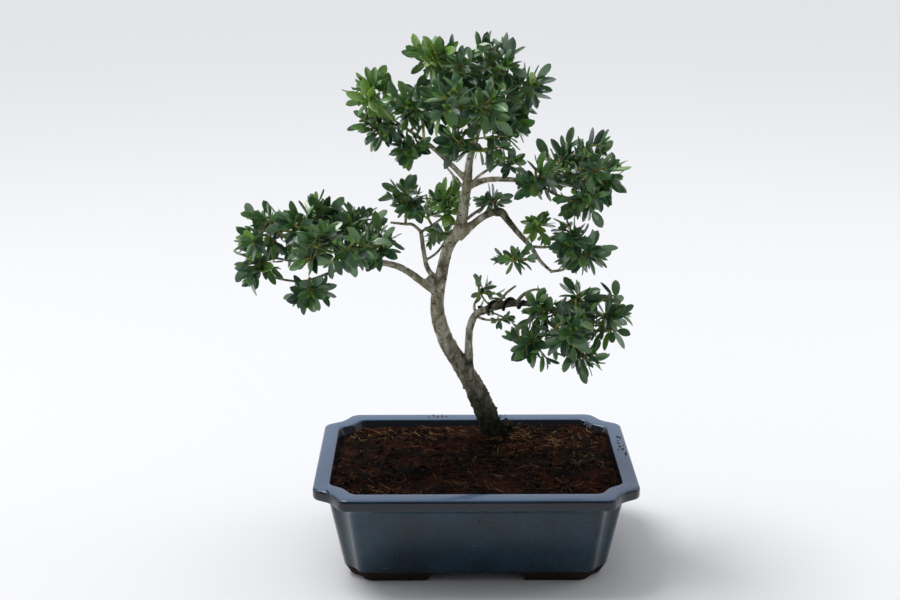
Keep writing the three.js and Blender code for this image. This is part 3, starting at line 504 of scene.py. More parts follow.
class Foliage:
    """All shoots and leaves, spray by spray, none crossing another."""

    def __init__(self):
        self.draws = Draws(SEED)
        self.room = Room()
        self.shoots = {name: [] for name in SPRAYS}
        self.leaves = {name: [] for name in SPRAYS}

    def grow(self):
        for _ in range(SOIL_DRAWS):
            self.draws.one()
        for name in WOOD:
            windings = 2 * WIRE_RADIUS + GAP if name == "lower_right" else 0
            for box in boxes_along(wood_stations(name), WOOD_ROOM + windings):
                self.room.take("wood", "wood", box)
        for name, row in SPRAYS.items():
            self.shoots[name] = self.spray_shoots(name, *row[:5])
        for name, row in SPRAYS.items():
            shoots, count = self.shoots[name], row[5]
            for i, stations in enumerate(shoots):
                before = math.floor(count * i / len(shoots) + 0.5)
                after = math.floor(count * (i + 1) / len(shoots) + 0.5)
                self.shoot_leaves(name, stations, after - before, BLADE_ROOM, 1)
        for name, row in SPRAYS.items():
            self.extra_shoots(name, row[2])

    def shoot(self, owner, start, lead, tip, radius, steps):
        reach = length(tip - start)
        for attempt in range(SHOOT_TRIES):
            stray = STRAY_STEP * attempt
            wander = np.array([self.draws.between(-stray, stray) for _ in range(3)])
            control = start + lead * (0.45 * reach) + wander * reach
            end = tip + wander * (0.6 * reach)
            route = bent_route(start, control, end, radius, radius * SHOOT_TAPER)
            stations = stations_along(route, steps)
            boxes = boxes_along(stations, SHOOT_ROOM)
            if all(self.clear_of_others(owner, box) for box in boxes[1:]):
                break
        for box in boxes_along(stations, SHOOT_ROOM):
            self.room.take(owner, "stem", box)
        return stations

    def clear_of_others(self, owner, box):
        room = self.room
        return all(room.owners[k] == owner or apart(box, room.boxes[k]) for k in room.near(box))

    def start_on(self, branch, share, towards):
        stations = wood_stations(branch)
        before, after, part = span_at(stations, share)
        if share == 1:
            return after.point + after.direction * GAP, after.direction
        point = before.point + (after.point - before.point) * part
        lead = square_to(towards - point, unit(after.point - before.point))
        return point + lead * (max(before.radius, after.radius) + GAP), lead

    def spray_shoots(self, name, branch, share, centre, spread, shoots):
        middle = np.array(centre, float)
        start, lead = self.start_on(branch, share, middle)
        outward = unit(middle - start)
        tip = middle + outward * (spread * MAIN_SPREAD)
        main = self.shoot(name, start, lead, tip, SHOOT_RADIUS, 3)
        stems = [main]
        around = square_to(np.array([0.0, 0.0, 1.0]), outward)
        across = cross(outward, around)
        turn = self.draws.between(0, 2 * math.pi)
        for i in range(1, shoots):
            angle = turn + 2 * math.pi * i / (shoots - 1) + self.draws.between(-0.4, 0.4)
            opening = self.draws.between(1.2, 1.8)
            aim = (
                outward * math.cos(opening)
                + around * (math.cos(angle) * math.sin(opening))
                + across * (math.sin(angle) * math.sin(opening))
            )
            root = main[min(i, 2)]
            side_tip = middle + aim * (spread * SIDE_SPREAD)
            radius = SHOOT_RADIUS * SIDE_THICKNESS
            stems.append(self.shoot(name, root.point, root.direction, side_tip, radius, 1))
        return stems

    def shoot_leaves(self, name, stations, count, blade_room, scale):
        reach = length_of(stations)
        angle = self.draws.between(0, 2 * math.pi)
        for i in range(count):
            share = max(LOWEST_LEAF, 1 - (FIRST_LEAF + i * LEAF_SPACING) / reach)
            for attempt in range(LEAF_TRIES):
                angle += GOLDEN_ANGLE if attempt == 0 else 0.7
                shrunk = SHRUNK_LEAF if attempt > LEAF_TRIES / 2 else 1
                size = self.draws.between(*LEAF_SIZES) * shrunk * scale
                lean = min(TIP_LEAN + LEAN_STEP * i, LARGEST_LEAN) + self.draws.between(-0.15, 0.2)
                leaf = self.leaf_on(stations, share, angle, lean, size)
                blade = leaf_box(leaf, BLADE_FROM, blade_room)
                whole = leaf_box(leaf, 0, blade_room)
                if not self.leaf_clear(name, blade, whole):
                    continue
                self.room.take(name, "leaf", blade, whole)
                self.leaves[name].append(leaf)
                break

    def leaf_on(self, stations, share, angle, lean, size):
        before, after, part = span_at(stations, share)
        stem = unit(after.point - before.point)
        side = square_to(before.side, stem)
        other = cross(stem, side)
        radial = side * math.cos(angle) + other * math.sin(angle)
        direction = stem * math.cos(lean) + radial * math.sin(lean)
        facing = stem * math.sin(lean) - radial * math.cos(lean)
        sway = [self.draws.between(-0.4, 0.4), self.draws.between(-0.4, 0.4), 0.7]
        facing = facing + np.array(sway)
        upper = square_to(facing, direction)
        base = before.point + (after.point - before.point) * part + radial * (0.2 * SHOOT_RADIUS)
        width = LEAF_WIDTH * size * self.draws.between(0.9, 1.1)
        return {
            "base": base,
            "direction": direction,
            "upper": upper,
            "across": cross(direction, upper),
            "length": LEAF_LENGTH * size,
            "width": width,
        }

    def leaf_clear(self, name, blade, whole):
        room = self.room
        for k in room.near(whole):
            if room.owners[k] != name:
                if not apart(whole, room.wholes[k]):
                    return False
            elif room.kinds[k] == "leaf" and not apart(blade, room.boxes[k]):
                return False
        return True

    def extra_shoots(self, name, centre):
        """Side shoots that only the finished spray has, each with its own leaves."""
        draws = self.draws
        for number in range(SMALL_SHOOTS if name in SMALL_LEAVED else EXTRA_SHOOTS):
            middle = FILLED.get(name, centre) if number % 2 else centre
            stem = self.shoots[name][int(draws.one() * len(self.shoots[name]))]
            before, after, part = span_at(stem, draws.between(0.3, 0.9))
            start = before.point + (after.point - before.point) * part
            turn, rise = draws.between(0, 2 * math.pi), draws.between(-0.6, 1)
            level = math.sqrt(max(0, 1 - rise * rise))
            aim = np.array([math.cos(turn) * level, math.sin(turn) * level, rise])
            tip = np.array(middle, float) + aim * draws.between(*EXTRA_REACH)
            leaving = unit(0.35 * unit(after.point - before.point) + unit(tip - start))
            radius = SHOOT_RADIUS * EXTRA_THICKNESS
            stations = self.shoot(name, start, leaving, tip, radius, 3)
            self.shoots[name].append(stations)
            self.shoot_leaves(name, stations, EXTRA_LEAVES, EXTRA_ROOM, EXTRA_SIZE)


def leaf_box(leaf, start, blade_room):
    """The box round a leaf's blade from share start of its length to the tip."""
    chord = leaf["direction"] - leaf["upper"] * LEAF_ARCH
    along = unit(chord)
    up = cross(leaf["across"], along)
    centre = leaf["base"] + chord * (leaf["length"] * (1 + start) / 2)
    centre = centre + up * (0.015 * leaf["length"])
    halves = (leaf["length"] * (1 - start) / 2, leaf["width"] / 2, LEAF_THICKNESS / 2 + blade_room)
    return turned_box(centre, (along, leaf["across"], up), halves)


# Work with Blender's tools

def select_only(*pieces):
    bpy.ops.object.select_all(action="DESELECT")
    for piece in pieces:
        piece.select_set(True)
    if pieces:
        bpy.context.view_layer.objects.active = pieces[0]


def named(name):
    """The piece that was just made, under a name."""
    piece = bpy.context.object
    piece.name = piece.data.name = name
    return piece


def apply_modifier(piece, kind, **settings):
    select_only(piece)
    modifier = piece.modifiers.new(kind.title(), kind)
    for key, value in settings.items():
        setattr(modifier, key, value)
    bpy.ops.object.modifier_apply(modifier=modifier.name)


def cut(piece, tool, operation="DIFFERENCE"):
    apply_modifier(piece, "BOOLEAN", operation=operation, object=tool, solver="EXACT")
    bpy.data.objects.remove(tool)


def join(pieces, name):
    select_only(*pieces)
    if len(pieces) > 1:
        bpy.ops.object.join()
    return named(name)


def smooth(piece, degrees):
    select_only(piece)
    bpy.ops.object.shade_smooth_by_angle(angle=math.radians(degrees))


def select_points(mesh, wanted):
    """In edit mode: selects the points that satisfy a test, and what lies between them."""
    bm = bmesh.from_edit_mesh(mesh)
    bm.verts.index_update()
    for point in bm.verts:
        point.select = wanted(point)
    bm.select_flush_mode()
    bmesh.update_edit_mesh(mesh)


def copy_of(shape, matrix):
    """A copy of a shape with a mesh of its own, at its place."""
    piece = shape.copy()
    piece.data = shape.data.copy()
    piece.data.transform(matrix)
    bpy.context.collection.objects.link(piece)
    return piece


def matrix_of(x_axis, y_axis, z_axis, place):
    """The transform that lays a shape's own axes along three vectors, all in millimetres."""
    columns = [*(np.asarray(axis) * MM for axis in (x_axis, y_axis, z_axis)), placed(place)]
    rows = [[float(column[k]) for column in columns] for k in range(3)]
    return Matrix([*rows, [0, 0, 0, 1]])


def set_attribute(mesh, name, value):
    """A number for each face of a mesh, or the same for all, which its material reads."""
    attribute = mesh.attributes.get(name) or mesh.attributes.new(name, "FLOAT", "FACE")
    values = value if hasattr(value, "__len__") else [value] * len(mesh.polygons)
    attribute.data.foreach_set("value", [float(v) for v in values])


def tubes(name, routes, sides, steps=1, kind="POLY"):
    """Round stems along routes of (x, y, z, radius), as one mesh."""
    curve = bpy.data.curves.new(name, "CURVE")
    curve.dimensions = "3D"
    curve.bevel_depth = MM
    curve.bevel_resolution = max(0, sides // 2 - 2)
    curve.resolution_u = steps
    curve.use_fill_caps = True
    for route in routes:
        spline = curve.splines.new(kind)
        points = spline.points if kind == "POLY" else spline.bezier_points
        points.add(len(route) - 1)
        for point, (x, y, z, radius) in zip(points, route):
            place = placed((x, y, z))
            point.co = (*place, 1) if kind == "POLY" else place
            point.radius = radius
            if kind == "BEZIER":
                point.handle_left_type = point.handle_right_type = "AUTO"
    piece = bpy.data.objects.new(name, curve)
    bpy.context.collection.objects.link(piece)
    select_only(piece)
    bpy.ops.object.convert(target="MESH")
    bpy.ops.object.mode_set(mode="EDIT")
    bpy.ops.mesh.select_all(action="SELECT")
    bpy.ops.mesh.remove_doubles(threshold=0.01 * MM)
    bpy.ops.object.mode_set(mode="OBJECT")
    return named(name)


def push_out(piece, relief):
    """Moves each point along its normal by the relief at its place, both in millimetres."""
    mesh = piece.data
    places, normals = (np.zeros(3 * len(mesh.vertices)) for _ in range(2))
    mesh.vertices.foreach_get("co", places)
    mesh.vertices.foreach_get("normal", normals)
    places, normals = places.reshape(-1, 3), normals.reshape(-1, 3)
    heights = np.array([relief(place) for place in places / MM - POT_CENTRE])
    mesh.vertices.foreach_set("co", (places + normals * heights[:, None] * MM).ravel())
    mesh.update()


def finish_piece(piece, node=None, material=None):
    """Hides the solid a piece stands for, hangs the piece under the root, and gives it a material
    if one is passed.
    """
    if material:
        piece.data.materials.append(material)
    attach(piece, "root")
    if node:
        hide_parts(node)


# The pot

CORNER_STEPS = 4


def ring_layer(mesh):
    """The numbers of the rings that the points of an edited mesh belong to, 0 for new points."""
    layers = bmesh.from_edit_mesh(mesh).verts.layers.int
    return layers.get("ring") or layers.new("ring")


def select_rings(mesh, *numbers):
    bpy.ops.mesh.select_all(action="DESELECT")
    layer = ring_layer(mesh)
    select_points(mesh, lambda point: point[layer] in numbers)


def outline_ring(mesh, number, half, notch, height):
    """Draws a rectangle with indented, softly rounded corners as one ring of a mesh."""
    centre = tuple(placed((0, 0, height)))
    bpy.ops.mesh.select_all(action="DESELECT")
    bpy.ops.mesh.primitive_plane_add(size=2 * MM, location=centre)
    bpy.ops.transform.resize(value=(half[0], half[1], 1), center_override=centre)
    dented = ((1 - CORNER_DENT) / 2) ** 2
    bpy.ops.mesh.bevel(offset=notch * MM, segments=2, profile=dented, affect="VERTICES")
    bpy.ops.mesh.bevel(offset=CORNER_BEND * MM, segments=CORNER_STEPS, affect="VERTICES")
    layer = ring_layer(mesh)
    for point in bmesh.from_edit_mesh(mesh).verts:
        point[layer] = point[layer] or number


def ring_solid(name, levels):
    """A closed form through outlines, each given as half sizes, notch and height."""
    select_only()
    bpy.ops.mesh.primitive_plane_add(size=1)
    piece = named(name)
    bpy.ops.object.mode_set(mode="EDIT")
    bpy.ops.mesh.select_mode(type="VERT")
    bpy.ops.mesh.delete(type="VERT")
    for number, level in enumerate(levels, 1):
        outline_ring(piece.data, number, *level)
    bpy.ops.mesh.select_all(action="SELECT")
    bpy.ops.mesh.delete(type="ONLY_FACE")
    for number in range(1, len(levels)):
        select_rings(piece.data, number, number + 1)
        bpy.ops.mesh.bridge_edge_loops()
    for number in (1, len(levels)):
        select_rings(piece.data, number)
        bpy.ops.mesh.edge_face_add()
    bpy.ops.mesh.select_all(action="SELECT")
    bpy.ops.mesh.normals_make_consistent(inside=False)
    bpy.ops.object.mode_set(mode="OBJECT")
    return piece


def grown(half, extra):
    """Half sizes made larger all round."""
    return half[0] + extra, half[1] + extra


def rounded(start, end, steps, outward):
    """Levels from one to another along a quarter circle, which starts out sideways or upwards."""
    (half_a, notch_a, z_a), (half_b, notch_b, z_b) = start, end
    for i in range(1, steps + 1):
        turn = math.pi / 2 * i / steps
        across, up = math.sin(turn), 1 - math.cos(turn)
        if not outward:
            across, up = up, across
        half = tuple(a + (b - a) * across for a, b in zip(half_a, half_b))
        yield half, notch_a + (notch_b - notch_a) * across, z_a + (z_b - z_a) * up


def foot_gap(half_width, along_x):
    """A wedge that cuts the channel between the feet."""
    top, reach = FOOT_HEIGHT + 3, 4 * RIM_HALF[0]
    select_only()
    bpy.ops.mesh.primitive_cube_add(size=1, location=tuple(placed((0, 0, top / 2 - 0.5))))
    wedge = named("foot_gap")
    wide = (reach, 2 * half_width) if along_x else (2 * half_width, reach)
    bpy.ops.transform.resize(value=(wide[0] * MM, wide[1] * MM, (top + 1) * MM))
    bpy.ops.object.transform_apply()
    upper = {point.index for point in wedge.data.vertices if point.co.z > 0.001}
    share = 1 - GAP_SLOPE * top / half_width
    bpy.ops.object.mode_set(mode="EDIT")
    select_points(wedge.data, lambda point: point.index in upper)
    narrower = (1, share, 1) if along_x else (share, 1, 1)
    bpy.ops.transform.resize(value=narrower, center_override=tuple(placed((0, 0, top))))
    bpy.ops.object.mode_set(mode="OBJECT")
    return wedge


def make_pot(glaze):
    bottom = (grown(BASE_HALF, -1.6), BASE_NOTCH, FOOT_HEIGHT)
    wall_foot = (BASE_HALF, BASE_NOTCH, FOOT_HEIGHT + 1.4)
    shoulder = (SHOULDER_HALF, SHOULDER_NOTCH, SHOULDER_HEIGHT)
    under_rim = (grown(RIM_HALF, -2.5), RIM_NOTCH - 0.5, RIM_EDGE_FROM - 2)
    rim_low = (RIM_HALF, RIM_NOTCH, RIM_EDGE_FROM)
    rim_high = (RIM_HALF, RIM_NOTCH, POT_HEIGHT - RIM_ROUND)
    rim_top = (grown(RIM_HALF, -RIM_ROUND), RIM_NOTCH - 0.6, POT_HEIGHT)
    mouth = (grown(OPENING_HALF, 1.6), SHOULDER_NOTCH + 0.5, POT_HEIGHT)
    body = ring_solid("pot_glazed", [
        bottom, *rounded(bottom, wall_foot, 3, True), shoulder,
        *rounded(shoulder, under_rim, 5, False), *rounded(under_rim, rim_low, 3, True),
        rim_high, *rounded(rim_high, rim_top, 5, False),
        mouth, *rounded(mouth, INNER_LIP, 4, True), INNER_WALL, INNER_FLOOR,
    ])
    feet = ring_solid("feet", [
        (FOOT_HALF, BASE_NOTCH, 0),
        (grown(BASE_HALF, -0.6), BASE_NOTCH, FOOT_HEIGHT),
        (grown(BASE_HALF, -2), BASE_NOTCH, FOOT_HEIGHT + 1.5),
    ])
    inside = grown(FOOT_HALF, -FOOT_WIDTH)
    cut(feet, ring_solid("inside", [(inside, BASE_NOTCH, -1), (inside, BASE_NOTCH, 12)]))
    cut(feet, foot_gap(FRONT_GAP_HALF, False))
    cut(feet, foot_gap(SIDE_GAP_HALF, True))
    edges = {"limit_method": "ANGLE", "angle_limit": math.radians(40)}
    apply_modifier(feet, "BEVEL", width=0.7 * MM, segments=2, **edges)
    cut(body, feet, "UNION")
    for x in (-DRAIN_X, DRAIN_X):
        select_only()
        bpy.ops.mesh.primitive_cylinder_add(
            vertices=32, radius=DRAIN_RADIUS * MM, depth=2 * FLOOR_TOP * MM,
            location=tuple(placed((x, 0, FLOOR_TOP))),
        )
        cut(body, named("drainage_hole"))
    smooth(body, 32)
    finish_piece(body, "pot", glaze)


# The soil

SOIL_CUTS = 4
SOIL_RINGS = 64
SOIL_EDGE = 4.5
SOIL_EDGE_DROP = 2.2
SOIL_GAP = 0.3
MESH_ROOM = 1.9


def relief(x, y, size, layer):
    """Lumps of about a size in millimetres, from -1 to 1."""
    return noise.fractal(Vector((x / size, y / size, layer)), 0.9, 2.1, 4)


def edge_distance(x, y):
    """How far a place is from the inside of the wall, near enough for the soil's edge."""
    half_x, half_y = grown(OPENING_HALF, -1)
    corner = (half_x - abs(x) + half_y - abs(y) - SHOULDER_NOTCH) / math.sqrt(2)
    return min(half_x - abs(x), half_y - abs(y), corner)


def soil_height(x, y):
    mound_x, mound_y = WOOD["trunk"][2][:2]
    away = (x - mound_x) ** 2 + (y - mound_y) ** 2
    mound = MOUND_HEIGHT * math.exp(-away / MOUND_SPREAD ** 2)
    waves = 0.9 * math.sin(x / 9 + y / 13) + 0.8 * math.sin(x / 17 - y / 7 + 1.3)
    edge = min(max(edge_distance(x, y) / SOIL_EDGE, 0), 1)
    lumps = 1.1 * relief(x, y, 7, 3) + 0.7 * relief(x, y, 2.6, 9)
    level = SOIL_LEVEL + mound + 0.012 * x - 0.014 * y + 0.6 * waves
    return level + lumps * (0.4 + 0.6 * edge) - SOIL_EDGE_DROP * (1 - edge) ** 2


def make_soil(earth):
    """Fills the pot up to the soil's edge, then draws the surface inwards ring by ring."""
    floor = (grown(INNER_FLOOR[0], -SOIL_GAP), INNER_FLOOR[1], FLOOR_TOP + MESH_ROOM)
    wall = (grown(INNER_WALL[0], -SOIL_GAP), *INNER_WALL[1:])
    edge = (grown(OPENING_HALF, -0.9), 16.4, SOIL_LEVEL - 1)
    soil = ring_solid("soil_surface", [floor, wall, edge])
    centre = tuple(placed((0, 0, SOIL_LEVEL)))
    bpy.ops.object.mode_set(mode="EDIT")
    select_rings(soil.data, 3)
    bpy.ops.mesh.delete(type="ONLY_FACE")
    select_rings(soil.data, 3)
    bpy.ops.mesh.subdivide(number_cuts=SOIL_CUTS)
    for ring in range(SOIL_RINGS):
        share = (SOIL_RINGS - ring - 1) / (SOIL_RINGS - ring)
        bpy.ops.mesh.extrude_region_move(TRANSFORM_OT_translate={"value": (0, 0, 0)})
        bpy.ops.transform.resize(value=(share, share, 1), center_override=centre)
    bpy.ops.mesh.remove_doubles(threshold=0.05 * MM)
    bpy.ops.mesh.select_all(action="SELECT")
    bpy.ops.mesh.normals_make_consistent(inside=False)
    bpy.ops.object.mode_set(mode="OBJECT")
    for point in soil.data.vertices:
        x, y, z = np.array(point.co) / MM - POT_CENTRE
        if z > SOIL_LEVEL - 2:
            point.co.z = soil_height(x, y) * MM
    smooth(soil, 80)
    finish_piece(soil, "soil", earth)


def fibre_shape(bend, wave):
    """A thin three-sided fibre of length 1 along X, thinner towards its ends."""
    select_only()
    along_x = (0, math.pi / 2, 0)
    bpy.ops.mesh.primitive_cylinder_add(vertices=3, radius=0.5, depth=1, rotation=along_x)
    fibre = named("fibre")
    bpy.ops.object.transform_apply()
    bpy.ops.object.mode_set(mode="EDIT")
    for place in (-0.3, -0.1, 0.1, 0.3):
        bpy.ops.mesh.select_all(action="SELECT")
        bpy.ops.mesh.bisect(plane_co=(place, 0, 0), plane_no=(1, 0, 0))
    bpy.ops.object.mode_set(mode="OBJECT")
    for point in fibre.data.vertices:
        along = 2 * point.co.x
        point.co.y *= 1 - 0.6 * abs(along)
        point.co.z *= 1 - 0.6 * abs(along)
    return fibre, bend, wave


def lay_fibre(shape, draws, x, y, reach, thickness, tone):
    """A fibre on the soil, in a direction of its own."""
    fibre, bend, wave = shape
    turn = draws.between(0, 2 * math.pi)
    tilt = draws.between(*FIBRE_TILT)
    x_axis = np.array([math.cos(turn), math.sin(turn), tilt]) * reach
    y_axis = np.array([-math.sin(turn), math.cos(turn), 0]) * thickness
    z_axis = np.array([0, 0, thickness])
    height = soil_height(x, y) + thickness * 0.4
    piece = copy_of(fibre, matrix_of(x_axis, y_axis, z_axis, (x, y, height)))
    rise = draws.between(*FIBRE_RISE)
    sideways = np.array([-math.sin(turn), math.cos(turn), rise]) * reach * MM
    for point, plain in zip(piece.data.vertices, fibre.data.vertices):
        along = 2 * plain.co.x
        shift = bend * (along * along - 0.5) + wave * math.sin(3.2 * along)
        point.co += Vector(sideways * shift)
    set_attribute(piece.data, "tone", tone)
    return piece


def on_soil(draws):
    """A place on the soil."""
    while True:
        x = draws.between(-OPENING_HALF[0], OPENING_HALF[0])
        y = draws.between(-OPENING_HALF[1], OPENING_HALF[1])
        if edge_distance(x, y) > 1.5:
            return x, y


# Where tan fibres lie thicker: middle, spread and share of all
FIBRE_PATCHES = [
    (-62, 52, 34, 12, 0.2), (-8, 50, 26, 14, 0.12), (42, 34, 24, 18, 0.22), (78, 20, 18, 40, 0.2),
    (0, 0, 100, 66, 0.2), (-70, -58, 24, 8, 0.06),
]


def make_fibres(material):
    draws = Scatter(7)
    shapes = [fibre_shape(0.1, 0.05), fibre_shape(-0.18, 0.09), fibre_shape(0.32, -0.04)]
    pieces = []
    for _ in range(FINE_FIBRES):
        place = on_soil(draws)
        shape = shapes[int(draws.one() * 3)]
        reach, thickness = draws.between(*FINE_REACH), draws.between(*FINE_THICKNESS)
        tone = draws.one() ** 1.6 * 0.6
        pieces.append(lay_fibre(shape, draws, *place, reach, thickness, tone))
    for x, y, spread_x, spread_y, share in FIBRE_PATCHES:
        for _ in range(round(LONG_FIBRES * share)):
            place = x + draws.between(-1, 1) * spread_x, y + draws.between(-1, 1) * spread_y
            if edge_distance(*place) < 1:
                continue
            shape = shapes[int(draws.one() * 3)]
            reach, thickness = draws.between(*LONG_REACH), draws.between(*LONG_THICKNESS)
            tone = draws.between(0.4, 1)
            pieces.append(lay_fibre(shape, draws, *place, reach, thickness, tone))
    for fibre, _, _ in shapes:
        bpy.data.objects.remove(fibre)
    finish_piece(join(pieces, "soil_fibres"), material=material)


# Where crumbs of soil lie on the pot's rim: middle, spread and number
RIM_CRUMBS = [
    (-24, 79, 13, 3, 12), (20, 78, 9, 2.5, 10), (112, 20, 2.5, 22, 16), (-108, -66, 3, 6, 6),
]


def make_crumbs(material):
    draws = Scatter(11)
    select_only()
    bpy.ops.mesh.primitive_ico_sphere_add(subdivisions=2, radius=1)
    ball = named("crumb")
    places = [(*on_soil(draws), 0) for _ in range(CRUMBS)]
    for x, y, spread_x, spread_y, count in RIM_CRUMBS:
        for _ in range(count):
            shift = draws.between(-1, 1) * spread_x, draws.between(-1, 1) * spread_y
            places.append((x + shift[0], y + shift[1], POT_HEIGHT))
    pieces = []
    for x, y, rim in places:
        largest = RIM_CRUMB_SIZE if rim else CRUMB_SIZE
        size = draws.between(0.4, 1) ** 2 * largest + SMALLEST_CRUMB
        turn = draws.between(0, 2 * math.pi)
        x_axis = np.array([math.cos(turn), math.sin(turn), 0.2]) * size * draws.between(0.9, 1.5)
        y_axis = np.array([-math.sin(turn), math.cos(turn), 0]) * size
        z_axis = np.array([0, 0.1, 0.75]) * size
        height = rim + 0.55 * size if rim else soil_height(x, y) + 0.2 * size
        piece = copy_of(ball, matrix_of(x_axis, y_axis, z_axis, (x, y, height)))
        middle = Vector(placed((x, y, height)))
        layer = draws.between(0, 50)
        for point, plain in zip(piece.data.vertices, ball.data.vertices):
            dent = 1 + 0.35 * noise.noise(plain.co * 1.4 + Vector((layer, 0, 0)))
            point.co = middle + (point.co - middle) * dent
        set_attribute(piece.data, "tone", draws.between(0, 0.6))
        pieces.append(piece)
    bpy.data.objects.remove(ball)
    crumbs = join(pieces, "soil_crumbs")
    smooth(crumbs, 40)
    finish_piece(crumbs, material=material)


# The wood

# The least radius at its foot of a branch that is grown into one skin with the trunk
THICK_WOOD = 1.9
BARK_VOXEL = 0.72
ROUTE_STEP = 2.5

# The bark is rougher below this height, and most of all on the root's knob, right of x and below z
ROUGH_BELOW = 150
ROOT_KNOB = (17, 86)


def fine_route(name):
    points = WOOD[name]
    steps = max(6, round(route_length(points) / ROUTE_STEP))
    rows = (route_at(points, i / steps) for i in range(steps + 1))
    return [(*place, radius) for place, radius in rows]


def bark_relief(place, girth):
    """How far the bark stands out, in millimetres, at a place in millimetres."""
    x, y, z = place
    flakes = noise.fractal(Vector((x / 4.2, y / 4.2, z / 9)), 0.8, 2.1, 5)
    lumps = noise.noise(Vector((x / 11, y / 11, z / 15)))
    low = min(max((ROUGH_BELOW - z) / 80, 0), 1)
    scales = max(0, noise.noise(Vector((x / 2.9, y / 2.9, z / 3.4 + 7))) - 0.22)
    rough = (0.5 + 0.6 * low) * flakes + (0.5 + 0.5 * low) * lumps + (1.4 + 2.6 * low) * scales
    on_root_knob = x > ROOT_KNOB[0] and z < ROOT_KNOB[1]
    return min(girth / 8, 1) * rough + (2.6 * flakes if on_root_knob else 0)


def darkness_and_shade(middles):
    """How dark the bark is painted at each of some places, from 0 to 1: painted shade at joins and
    along the lower branch, and the dark root knob.
    """
    dark = np.zeros(len(middles))
    for x, y, z, reach in DARK_AND_SHADED_BARK:
        away = np.linalg.norm(middles - (x, y, z), axis=1)
        dark = np.maximum(dark, np.clip(2 - 2 * away / reach, 0, 1))
    return dark


def make_trunk(bark):
    thick = [name for name in WOOD if WOOD[name][0][3] >= THICK_WOOD]
    trunk = tubes("trunk_wood", [fine_route(name) for name in thick], 14)
    knobs = []
    for x, y, z, radius in KNOBS:
        select_only()
        bpy.ops.mesh.primitive_ico_sphere_add(
            subdivisions=3, radius=radius * MM, location=tuple(placed((x, y, z)))
        )
        bpy.ops.object.transform_apply()
        knobs.append(bpy.context.object)
    trunk = join([trunk, *knobs], "trunk_wood")
    apply_modifier(trunk, "REMESH", mode="VOXEL", voxel_size=BARK_VOXEL * MM, adaptivity=0)
    apply_modifier(trunk, "SMOOTH", factor=0.5, iterations=5)
    rows = [row for name in thick for row in fine_route(name)]
    tree = kdtree.KDTree(len(rows))
    for i, row in enumerate(rows):
        tree.insert(row[:3], i)
    tree.balance()
    push_out(trunk, lambda place: bark_relief(place, rows[tree.find(place)[1]][3]))
    twigs = tubes("twigs", [fine_route(name) for name in WOOD if name not in thick], 8)
    push_out(twigs, lambda place: 0.18 * noise.noise(Vector(place / 2.2)))
    trunk = join([trunk, twigs], "trunk_wood")
    smooth(trunk, 60)
    middles = np.zeros(3 * len(trunk.data.polygons))
    trunk.data.polygons.foreach_get("center", middles)
    # Painted shade at branch joins and along the lower branch, and the dark root knob, for each
    # face
    set_attribute(trunk.data, "dark", darkness_and_shade(middles.reshape(-1, 3) / MM - POT_CENTRE))
    finish_piece(trunk, "trunk", bark)


# The wire

def make_wire(material):
    core = stations_along(WOOD["lower_right"][slice(*WIRE_POINTS)], WIRE_STEPS * WIRE_FINER)
    underneath = length_of(core[:WIRE_UNDERNEATH * WIRE_FINER + 1])
    route = []
    for i in range(WIRE_FROM * WIRE_FINER, WIRE_TO * WIRE_FINER + 1):
        at = core[i]
        up = square_to(np.array([0.0, 0.0, 1.0]), at.direction)
        beside = cross(at.direction, up)
        angle = 2 * math.pi * (length_of(core[:i + 1]) - underneath) / WIRE_PITCH
        away = at.radius + 0.8 * WIRE_RADIUS
        place = at.point - up * (away * math.cos(angle)) + beside * (away * math.sin(angle))
        route.append((*place, WIRE_RADIUS))
    wire = tubes("wire_winding", [route], 12)
    edges = {"limit_method": "ANGLE", "angle_limit": math.radians(50)}
    apply_modifier(wire, "BEVEL", width=0.25 * MM, segments=2, **edges)
    smooth(wire, 40)
    finish_piece(wire, "training_wire", material)


# The leaves

def leaf_width_at(share):
    """The share of its full width that a leaf has along its length, after a short stalk."""
    if share < 0.06:
        return 0.09
    blade = (share - 0.06) / 0.94
    return max(0.09, blade ** 0.7 * (1 - blade) ** 0.62 / 0.402) if blade < 1 else 0.05


def leaf_shape(name, material, fold, curl, twist):
    """A leaf of length 1 along X and width 1, its upper side up, with its midrib sunk a little."""
    select_only()
    bpy.ops.mesh.primitive_grid_add(x_subdivisions=6, y_subdivisions=4, size=1)
    leaf = named(name)
    for point in leaf.data.vertices:
        share, side = point.co.x + 0.5, 2 * point.co.y
        share -= 0.07 * math.sin(2 * math.pi * share)
        wide = leaf_width_at(share)
        lift = fold * abs(side) * wide - curl * side * side * wide - 0.012 * (side == 0) * wide
        point.co = (
            share,
            side * wide / 2,
            0.5 * lift - LEAF_ARCH * share ** 2 + twist * side * share * wide,
        )
    leaf.data.materials.append(material)
    apply_modifier(leaf, "SOLIDIFY", thickness=0.024, offset=0)
    under = [1 if polygon.normal.z < -0.3 else 0 for polygon in leaf.data.polygons]
    set_attribute(leaf.data, "under", under)
    smooth(leaf, 50)
    return leaf


def add_leaf(shapes, draws, leaf, youth):
    shape = shapes[int(draws.one() * len(shapes))]
    matrix = matrix_of(
        leaf["direction"] * leaf["length"],
        -leaf["across"] * (leaf["width"] * BLADE_NARROWING),
        leaf["upper"] * leaf["length"],
        leaf["base"],
    )
    piece = copy_of(shape, matrix)
    set_attribute(piece.data, "tone", draws.one())
    set_attribute(piece.data, "youth", youth)
    return piece


